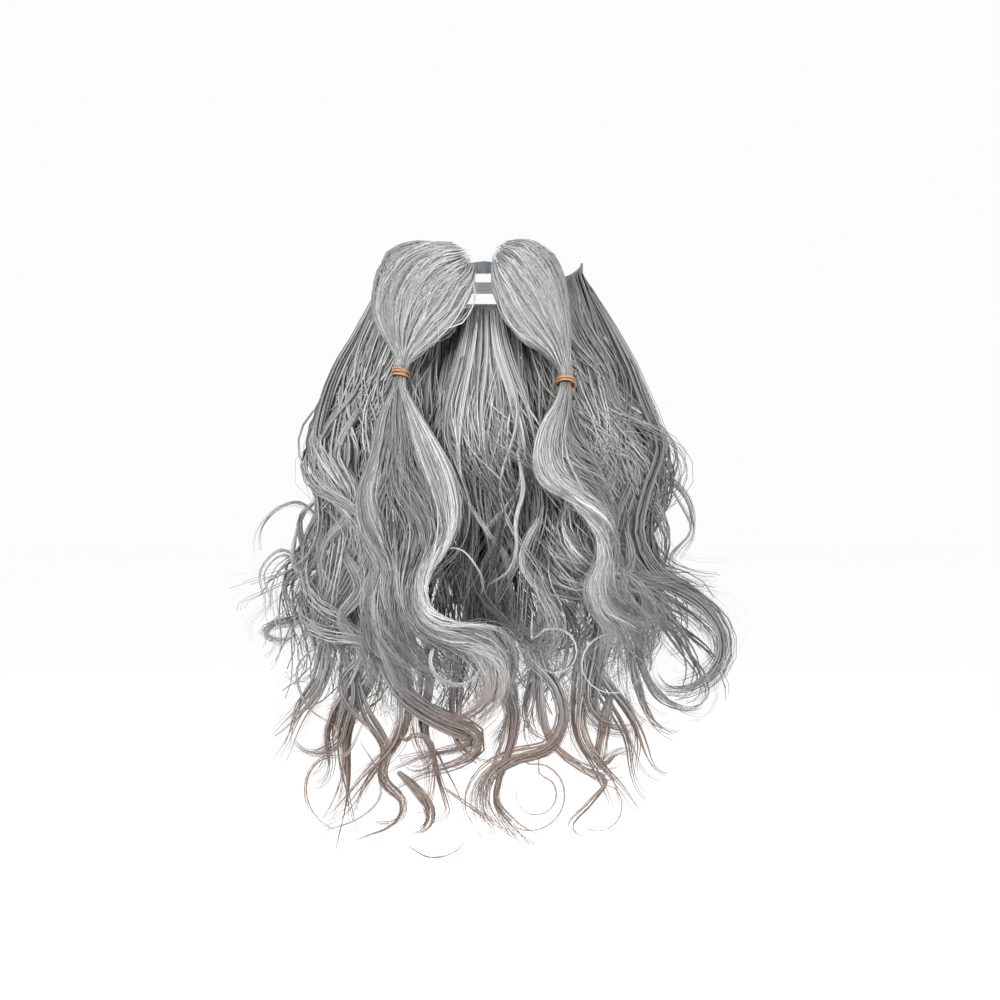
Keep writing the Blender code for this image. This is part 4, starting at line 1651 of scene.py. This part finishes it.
RIGHT_TAIL_GUIDES = (
    ((-67, -76), (-76, -95), (-81, -120), (-90, -144), (-91, -162), (-82, -186), (-78, -200),
     (-87, -226), (-82, -256), (-64, -284), (-50, -294)),
    ((-65, -82), (-68, -105), (-72, -130), (-77, -152), (-72, -176), (-65, -198), (-71, -224),
     (-68, -252), (-54, -276), (-36, -292)),
    ((-62, -84), (-61, -109), (-63, -134), (-58, -152), (-48, -170), (-47, -192), (-57, -217),
     (-57, -244), (-42, -268), (-20, -282), (-14, -296), (-26, -304)),
    ((-58, -81), (-52, -105), (-46, -127), (-37, -148), (-32, -170), (-37, -192), (-48, -213),
     (-48, -233), (-33, -250), (-10, -258), (3, -272), (0, -292), (-16, -304), (-32, -303)),
    ((-55, -74), (-45, -91), (-33, -109), (-21, -130), (-16, -152), (-19, -174), (-30, -192),
     (-41, -210), (-40, -228), (-21, -241), (2, -244), (18, -258), (18, -280), (2, -298), (-20, -306),
     (-38, -300)),
)
LEFT_WING_GUIDES = (
    ((5, 20), (6, 4), (9, -9), (16, -24), (27, -38), (42, -47), (52, -56)),
    ((6, 24), (11, 9), (18, -6), (27, -21), (39, -35), (49, -46), (54, -56)),
    ((7, 28), (16, 17), (26, 2), (36, -14), (45, -29), (52, -42), (56, -53)),
    ((8, 31), (21, 26), (34, 12), (44, -5), (50, -22), (55, -38), (58, -52)),
    ((11, 33), (27, 33), (42, 21), (52, 4), (57, -15), (59, -34), (60, -52)),
    ((15, 35), (33, 36), (49, 27), (58, 10), (62, -10), (63, -30), (62, -51)),
)
LEFT_TAIL_GUIDES = (
    ((51, -82), (40, -99), (35, -120), (40, -138), (56, -150), (73, -163), (83, -177), (82, -196),
     (75, -213), (80, -232), (94, -250), (92, -270)),
    ((54, -84), (47, -101), (44, -120), (50, -135), (64, -147), (79, -160), (88, -174), (88, -195),
     (81, -212), (86, -230), (101, -246), (104, -266)),
    ((57, -86), (53, -103), (52, -119), (59, -133), (71, -145), (84, -157), (93, -174), (93, -195),
     (86, -214), (92, -231), (109, -246), (116, -264), (108, -282)),
    ((60, -84), (58, -102), (62, -117), (72, -128), (84, -138), (92, -153), (93, -172), (86, -190),
     (79, -206), (88, -222), (104, -234), (119, -250), (118, -268)),
    ((63, -82), (67, -98), (74, -116), (84, -134), (92, -150), (97, -170), (96, -190)),
)


def wing(guides: tuple, bunches: int) -> tuple[Combing, ...]:
    """A wing's filling, darkened as painted shade of its depth, its broad strands and the fine ones over
    them.

    Args:
        guides: The wing's guides.
        bunches: Bunches across it.

    Returns:
        The sheaves, from the back.
    """
    # The filling's low tone is painted shade of the wing's depth.
    fill = Sheaf(
        guides, strands=150, rings=16, bunches=bunches,
        tone=0.4, spread=0.14, radius=2.0, gather=0.3, sway=0.01, starts=0.5,
        loose=0.05, beyond=0.0,
    )
    locks = Sheaf(
        guides, strands=330, rings=17, bunches=bunches,
        tone=0.53, spread=0.22, radius=0.95, gather=0.5, sway=0.02, starts=0.4,
        loose=0.05, beyond=0.01,
    )
    fibres = Sheaf(
        guides, strands=400, rings=18, bunches=bunches,
        tone=0.56, spread=0.24, radius=0.2, gather=0.6, sway=0.03, starts=0.4,
        loose=0.12, beyond=0.02,
    )
    return (
        Combing(fill, low=0.0, high=0.6, flatness=0.3, band=0.05),
        Combing(locks, low=0.6, high=0.97, flatness=0.35, band=0.03),
        Combing(fibres, low=0.74, high=1.0),
    )


def tail(guides: tuple, bunches: int, share: float, tone: float) -> tuple[Combing, ...]:
    """A tail's filling, darkened as painted shade of its depth, its broad strands and the fine ones over
    them.

    Args:
        guides: The tail's guides, or those of a part of it.
        bunches: Bunches across it.
        share: The part's share of the whole tail's strands.
        tone: Middle tone.

    Returns:
        The sheaves, from the back.
    """
    # The filling's low tone is painted shade of the tail's depth.
    fill = Sheaf(
        guides, strands=int(80 * share), rings=22, bunches=bunches,
        tone=tone - 0.26, spread=0.14, radius=2.0, gather=0.4,
        sway=0.03, shortest=0.76, longest=0.94, loose=0.05, coil=1.5, pitch=90,
    )
    locks = Sheaf(
        guides, strands=int(240 * share), rings=24, bunches=bunches,
        tone=tone - 0.08, spread=0.28, radius=0.9, gather=0.7,
        sway=0.05, shortest=0.86, loose=0.08, coil=4, pitch=95, layered=0.5, depth_shading=0.24,
        crest_highlight=0.1, curl=12,
    )
    fibres = Sheaf(
        guides, strands=int(420 * share), rings=26, bunches=bunches,
        tone=tone, spread=0.3, radius=0.22, gather=0.75, sway=0.06,
        shortest=0.84, loose=0.2, coil=5, pitch=95, layered=0.4, depth_shading=0.24, crest_highlight=0.1, curl=22,
    )
    return (
        Combing(fill, low=0.0, high=0.5, flatness=0.3, band=0.05),
        Combing(locks, low=0.3, high=0.92, flatness=0.35, band=0.03),
        Combing(fibres, low=0.4, high=1.0),
    )


RIGHT_HALF = Moustache(
    name="right",
    tie=Tie(x=-59.8, z=-61.2, tilt=13, hair_radius=5.0, height=7.5),
    wing=wing(RIGHT_WING_GUIDES, bunches=10),
    tail=(
        *tail(RIGHT_TAIL_GUIDES, bunches=9, share=0.32, tone=0.44),
        *tail(RIGHT_TAIL_GUIDES[:2], bunches=3, share=0.16, tone=0.56),
        *tail(RIGHT_TAIL_GUIDES[3:], bunches=7, share=0.52, tone=0.66),
    ),
    sections=(
        SectionRow(37, -60, -46, 3), SectionRow(31, -73, -26, 8), SectionRow(20, -82, -7, 12),
        SectionRow(6, -82, -6, 15), SectionRow(-8, -79, -9, 17), SectionRow(-21, -74, -14, 17),
        SectionRow(-33, -69, -26, 16), SectionRow(-44, -65.5, -40, 14), SectionRow(-78, -73, -53, 12),
        SectionRow(-100, -79, -40, 14), SectionRow(-125, -81, -29, 15), SectionRow(-150, -74, -19, 16),
        SectionRow(-168, -68, -16, 16), SectionRow(-190, -70, -26, 16), SectionRow(-215, -78, -40, 15),
        SectionRow(-235, -72, -31, 14), SectionRow(-253, -58, -2, 13), SectionRow(-271, -44, 14, 12),
        SectionRow(-289, -34, 13, 10), SectionRow(-304, -19, -1, 5),
    ),
    seed=11,
)

LEFT_HALF = Moustache(
    name="left",
    tie=Tie(x=58.7, z=-67.4, tilt=5, hair_radius=5.6, height=6.5),
    wing=wing(LEFT_WING_GUIDES, bunches=8),
    tail=(
        *tail(LEFT_TAIL_GUIDES, bunches=8, share=0.4, tone=0.48),
        *tail(LEFT_TAIL_GUIDES[:3], bunches=8, share=0.6, tone=0.64),
    ),
    sections=(
        SectionRow(37, 20, 32, 3), SectionRow(31, 12, 43, 8), SectionRow(20, 6, 56, 12),
        SectionRow(6, 9, 60, 15), SectionRow(-8, 11, 61, 17), SectionRow(-21, 14, 62, 17),
        SectionRow(-33, 22, 63, 16), SectionRow(-44, 37, 63.5, 14), SectionRow(-53, 49, 64, 12),
        SectionRow(-82, 44, 71, 12), SectionRow(-105, 35, 75, 14), SectionRow(-125, 34, 83, 15),
        SectionRow(-145, 40, 93, 16), SectionRow(-165, 57, 98, 16), SectionRow(-190, 64, 91, 15),
        SectionRow(-213, 63, 86, 14), SectionRow(-235, 75, 104, 13), SectionRow(-255, 88, 124, 11),
        SectionRow(-271, 86, 119, 9), SectionRow(-285, 95, 109, 5),
    ),
    seed=23,
)


def curtains(
    guides: tuple, bunches: int, broad: int, fine: int, tone: float, swing: float, coil: float,
    core: float = 0.0,
) -> tuple[Curtain, ...]:
    """A part's filling, dark as painted shade of the hair's depth, its broad strands and the fine ones over
    them.

    Args:
        guides: The part's guides.
        bunches: Bunches across the part.
        broad: Number of strands of each broad kind.
        fine: Number of fine strands.
        tone: Middle tone of the fine strands.
        swing: Turns by which its coils are ahead.
        coil: Radius of its coils, in millimetres.
        core: How much darker the hair gets in the hollow below the chin, as painted shade.

    Returns:
        The curtains, from the back.
    """
    # The filling's low tone is painted shade of the hair's depth.
    fill = Sheaf(
        guides, strands=broad, rings=22, bunches=bunches,
        tone=0.22, spread=0.1, radius=2.4, gather=0.3, sway=0.04, shortest=0.72,
        longest=0.94, starts=0.04, loose=0.0, coil=0.6 * coil, pitch=112, uncoiled=0.1, swing=swing,
        curl=30, crest_highlight=0.05,
    )
    locks = Sheaf(
        guides, strands=broad + 70, rings=28, bunches=bunches,
        tone=tone - 0.08, spread=0.22, radius=0.85, gather=0.9, sway=0.07,
        shortest=0.78, starts=0.08, loose=0.03, coil=coil, pitch=112, uncoiled=0.06, layered=0.75,
        depth_shading=0.3, swing=swing, curl=48, crest_highlight=0.1, beyond=0.03,
    )
    fibres = Sheaf(
        guides, strands=fine, rings=28, bunches=bunches,
        tone=tone, spread=0.26, radius=0.24, gather=0.82, sway=0.08, shortest=0.76,
        starts=0.12, loose=0.14, coil=coil, pitch=112, uncoiled=0.06, layered=0.6, depth_shading=0.3,
        swing=swing, curl=48, crest_highlight=0.1, beyond=0.01,
    )
    return (
        Curtain(fill, front=0.5, back=1.0, flatness=0.25, band=0.05, core=0.5 * core),
        Curtain(locks, front=0.05, back=0.7, flatness=0.35, band=0.04, core=core),
        Curtain(fibres, front=0.0, back=0.6, core=core),
    )


CURTAINS = {
    Part.CHIN: curtains(
        CHIN_GUIDES, bunches=14, broad=115, fine=300, tone=0.56, swing=0.0, coil=12, core=0.6
    ),
    Part.RIGHT: curtains(
        SIDE_RIGHT_GUIDES, bunches=18, broad=125, fine=125, tone=0.54, swing=0.3, coil=17
    ),
    Part.LEFT: curtains(
        SIDE_LEFT_GUIDES, bunches=18, broad=135, fine=230, tone=0.54, swing=0.8, coil=17
    ),
}


@dataclass(frozen=True)
class Beard:
    """The hanging hair: curtains, the locks of the body and the locks seen in front."""

    seed: int = 5
    long_lock: float = 300 * MM
    broad_from: float = 3.5 * MM
    broad_in_tuft: int = 3
    tip: Fibre = Fibre(tone=0.46, curl=0.6)
    tip_tufts: int = 3
    tip_strands: int = 5
    seeds_per_part: int = 100
    seeds_per_kind: int = 50

    def fill(self, into: Strands, route: Route, fine: Fibre, tufts: int, strands: int, seed: int) -> None:
        """Comb a lock with a few broad strands among its fine ones, if it is wide enough for them.

        Args:
            into: Where the strands are gathered.
            route: The lock.
            fine: Its fine strands.
            tufts: Number of tufts.
            strands: Fine strands in a tuft.
            seed: Seed of the lock's own random numbers.
        """
        widest = float(route.half_width.max())
        length = np.linalg.norm(np.diff(route.middle, axis=0), axis=1).sum()
        rings = 12 + int(16 * min(1.0, length / self.long_lock))
        if widest > self.broad_from:
            radius = 0.08 * widest + 0.4 * MM
            broad = replace(
                fine, radius=radius, tone=fine.tone - 0.1, spread=0.2, stray=0.0, flatness=0.35, band=0.04
            )
            route.comb(into, broad, tufts, self.broad_in_tuft, rings, seed, 0.85)
        route.comb(into, fine, tufts, strands, rings, seed, 0.84)

    def build(self, hair: bpy.types.Material) -> None:
        """Comb every part."""
        for number, part in enumerate(Part):
            strands = Strands()
            rng = np.random.default_rng(self.seed + number)
            for curtain in CURTAINS[part]:
                curtain.comb(strands, rng)
            first = self.seed + self.seeds_per_part * number
            for place, lock in enumerate(TIP_LOCKS[part]):
                route = lock.route(part)
                self.fill(strands, route, self.tip, self.tip_tufts, self.tip_strands, first + place)
            for place, lock in enumerate(TRACED_LOCKS[part]):
                seed = first + self.seeds_per_kind + place
                fine = Fibre(tone=lock.tone, curl=lock.curl, core=lock.core)
                self.fill(strands, lock.route(), fine, lock.tufts, lock.strands, seed)
            strands.place(Piece(f"{part.value}_strands", part.value, Slot.HAIR), hair)


class Lamp(NamedTuple):
    """A square soft light: its place and size in metres and its power in watts."""

    name: str
    place: tuple[float, float, float]
    size: float
    power: float


@dataclass(frozen=True)
class Studio:
    """The camera, a pale floor and soft lights."""

    centre: tuple[float, float, float] = (0.01152, -2.2, -0.15192)
    lens: float = 110.0
    sensor: float = 36.0
    floor: float = -0.62
    floor_reach: float = 30.0
    white: float = 0.975
    aim: tuple[float, float, float] = (0.0, 0.0, -0.15)
    lamps: tuple[Lamp, ...] = (
        Lamp("key", (-0.9, -1.5, 0.9), 1.1, 62.0),
        Lamp("fill", (1.1, -1.3, 0.3), 1.0, 26.0),
        Lamp("rear", (0.3, 1.7, 0.9), 1.4, 40.0),
    )

    def build(self) -> None:
        """Set the camera, the floor, the lights and the surroundings."""
        scene = bpy.context.scene
        scene.view_settings.view_transform = "Standard"
        camera = bpy.data.cameras.new("camera")
        camera.lens = self.lens
        camera.sensor_width = self.sensor
        viewer = bpy.data.objects.new("camera", camera)
        viewer.location = self.centre
        viewer.rotation_euler = (math.pi / 2, 0.0, 0.0)
        scene.collection.objects.link(viewer)
        scene.camera = viewer

        plane = bpy.data.meshes.new("floor")
        reach = self.floor_reach
        corners = ((-reach, -reach), (reach, -reach), (reach, reach), (-reach, reach))
        plane.from_pydata([(x, y, self.floor) for x, y in corners], [], [(0, 1, 2, 3)])
        plane.materials.append(PlainFinish("floor", (1.0, 1.0, 1.0)).make())
        floor = bpy.data.objects.new("floor", plane)
        scene.collection.objects.link(floor)

        for lamp in self.lamps:
            self.hang(lamp)
        world = bpy.data.worlds.new("surroundings")
        scene.world = world
        world.use_nodes = True
        sky = world.node_tree.nodes["Background"]
        sky.inputs["Color"].default_value = (self.white, self.white, self.white, 1.0)
        sky.inputs["Strength"].default_value = 1.0

    def hang(self, lamp: Lamp) -> None:
        """Hang a lamp so that it faces the middle of the beard.

        Args:
            lamp: The lamp.
        """
        light = bpy.data.lights.new(lamp.name, "AREA")
        light.size = lamp.size
        light.energy = lamp.power
        hung = bpy.data.objects.new(lamp.name, light)
        hung.location = lamp.place
        x, y, z = np.array(self.aim) - np.array(lamp.place)
        hung.rotation_euler = (math.atan2(math.hypot(x, y), -z), 0.0, math.atan2(y, x) - math.pi / 2)
        bpy.context.scene.collection.objects.link(hung)


def dress(node: str, material: bpy.types.Material) -> None:
    """Give a CAD node that stays in view its material, and report it.

    Args:
        node: Name of the node.
        material: Its material.
    """
    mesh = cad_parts[node].data
    mesh.materials.clear()
    mesh.materials.append(material)
    LOG.info("%s: the solid itself, in %s", node, material.name)


def main() -> None:
    """Dress the beard and light it."""
    logging.basicConfig(level=logging.INFO)
    hair = HairFinish().make()
    rubber = RubberFinish().make()
    dress("backing", KnitFinish().make())
    dress("head_strap", ElasticFinish().make())
    Beard().build(hair)
    for half in (RIGHT_HALF, LEFT_HALF):
        half.build(hair, rubber)
    Studio().build()
    bpy.context.view_layer.update()


if __name__ == "__main__":
    main()
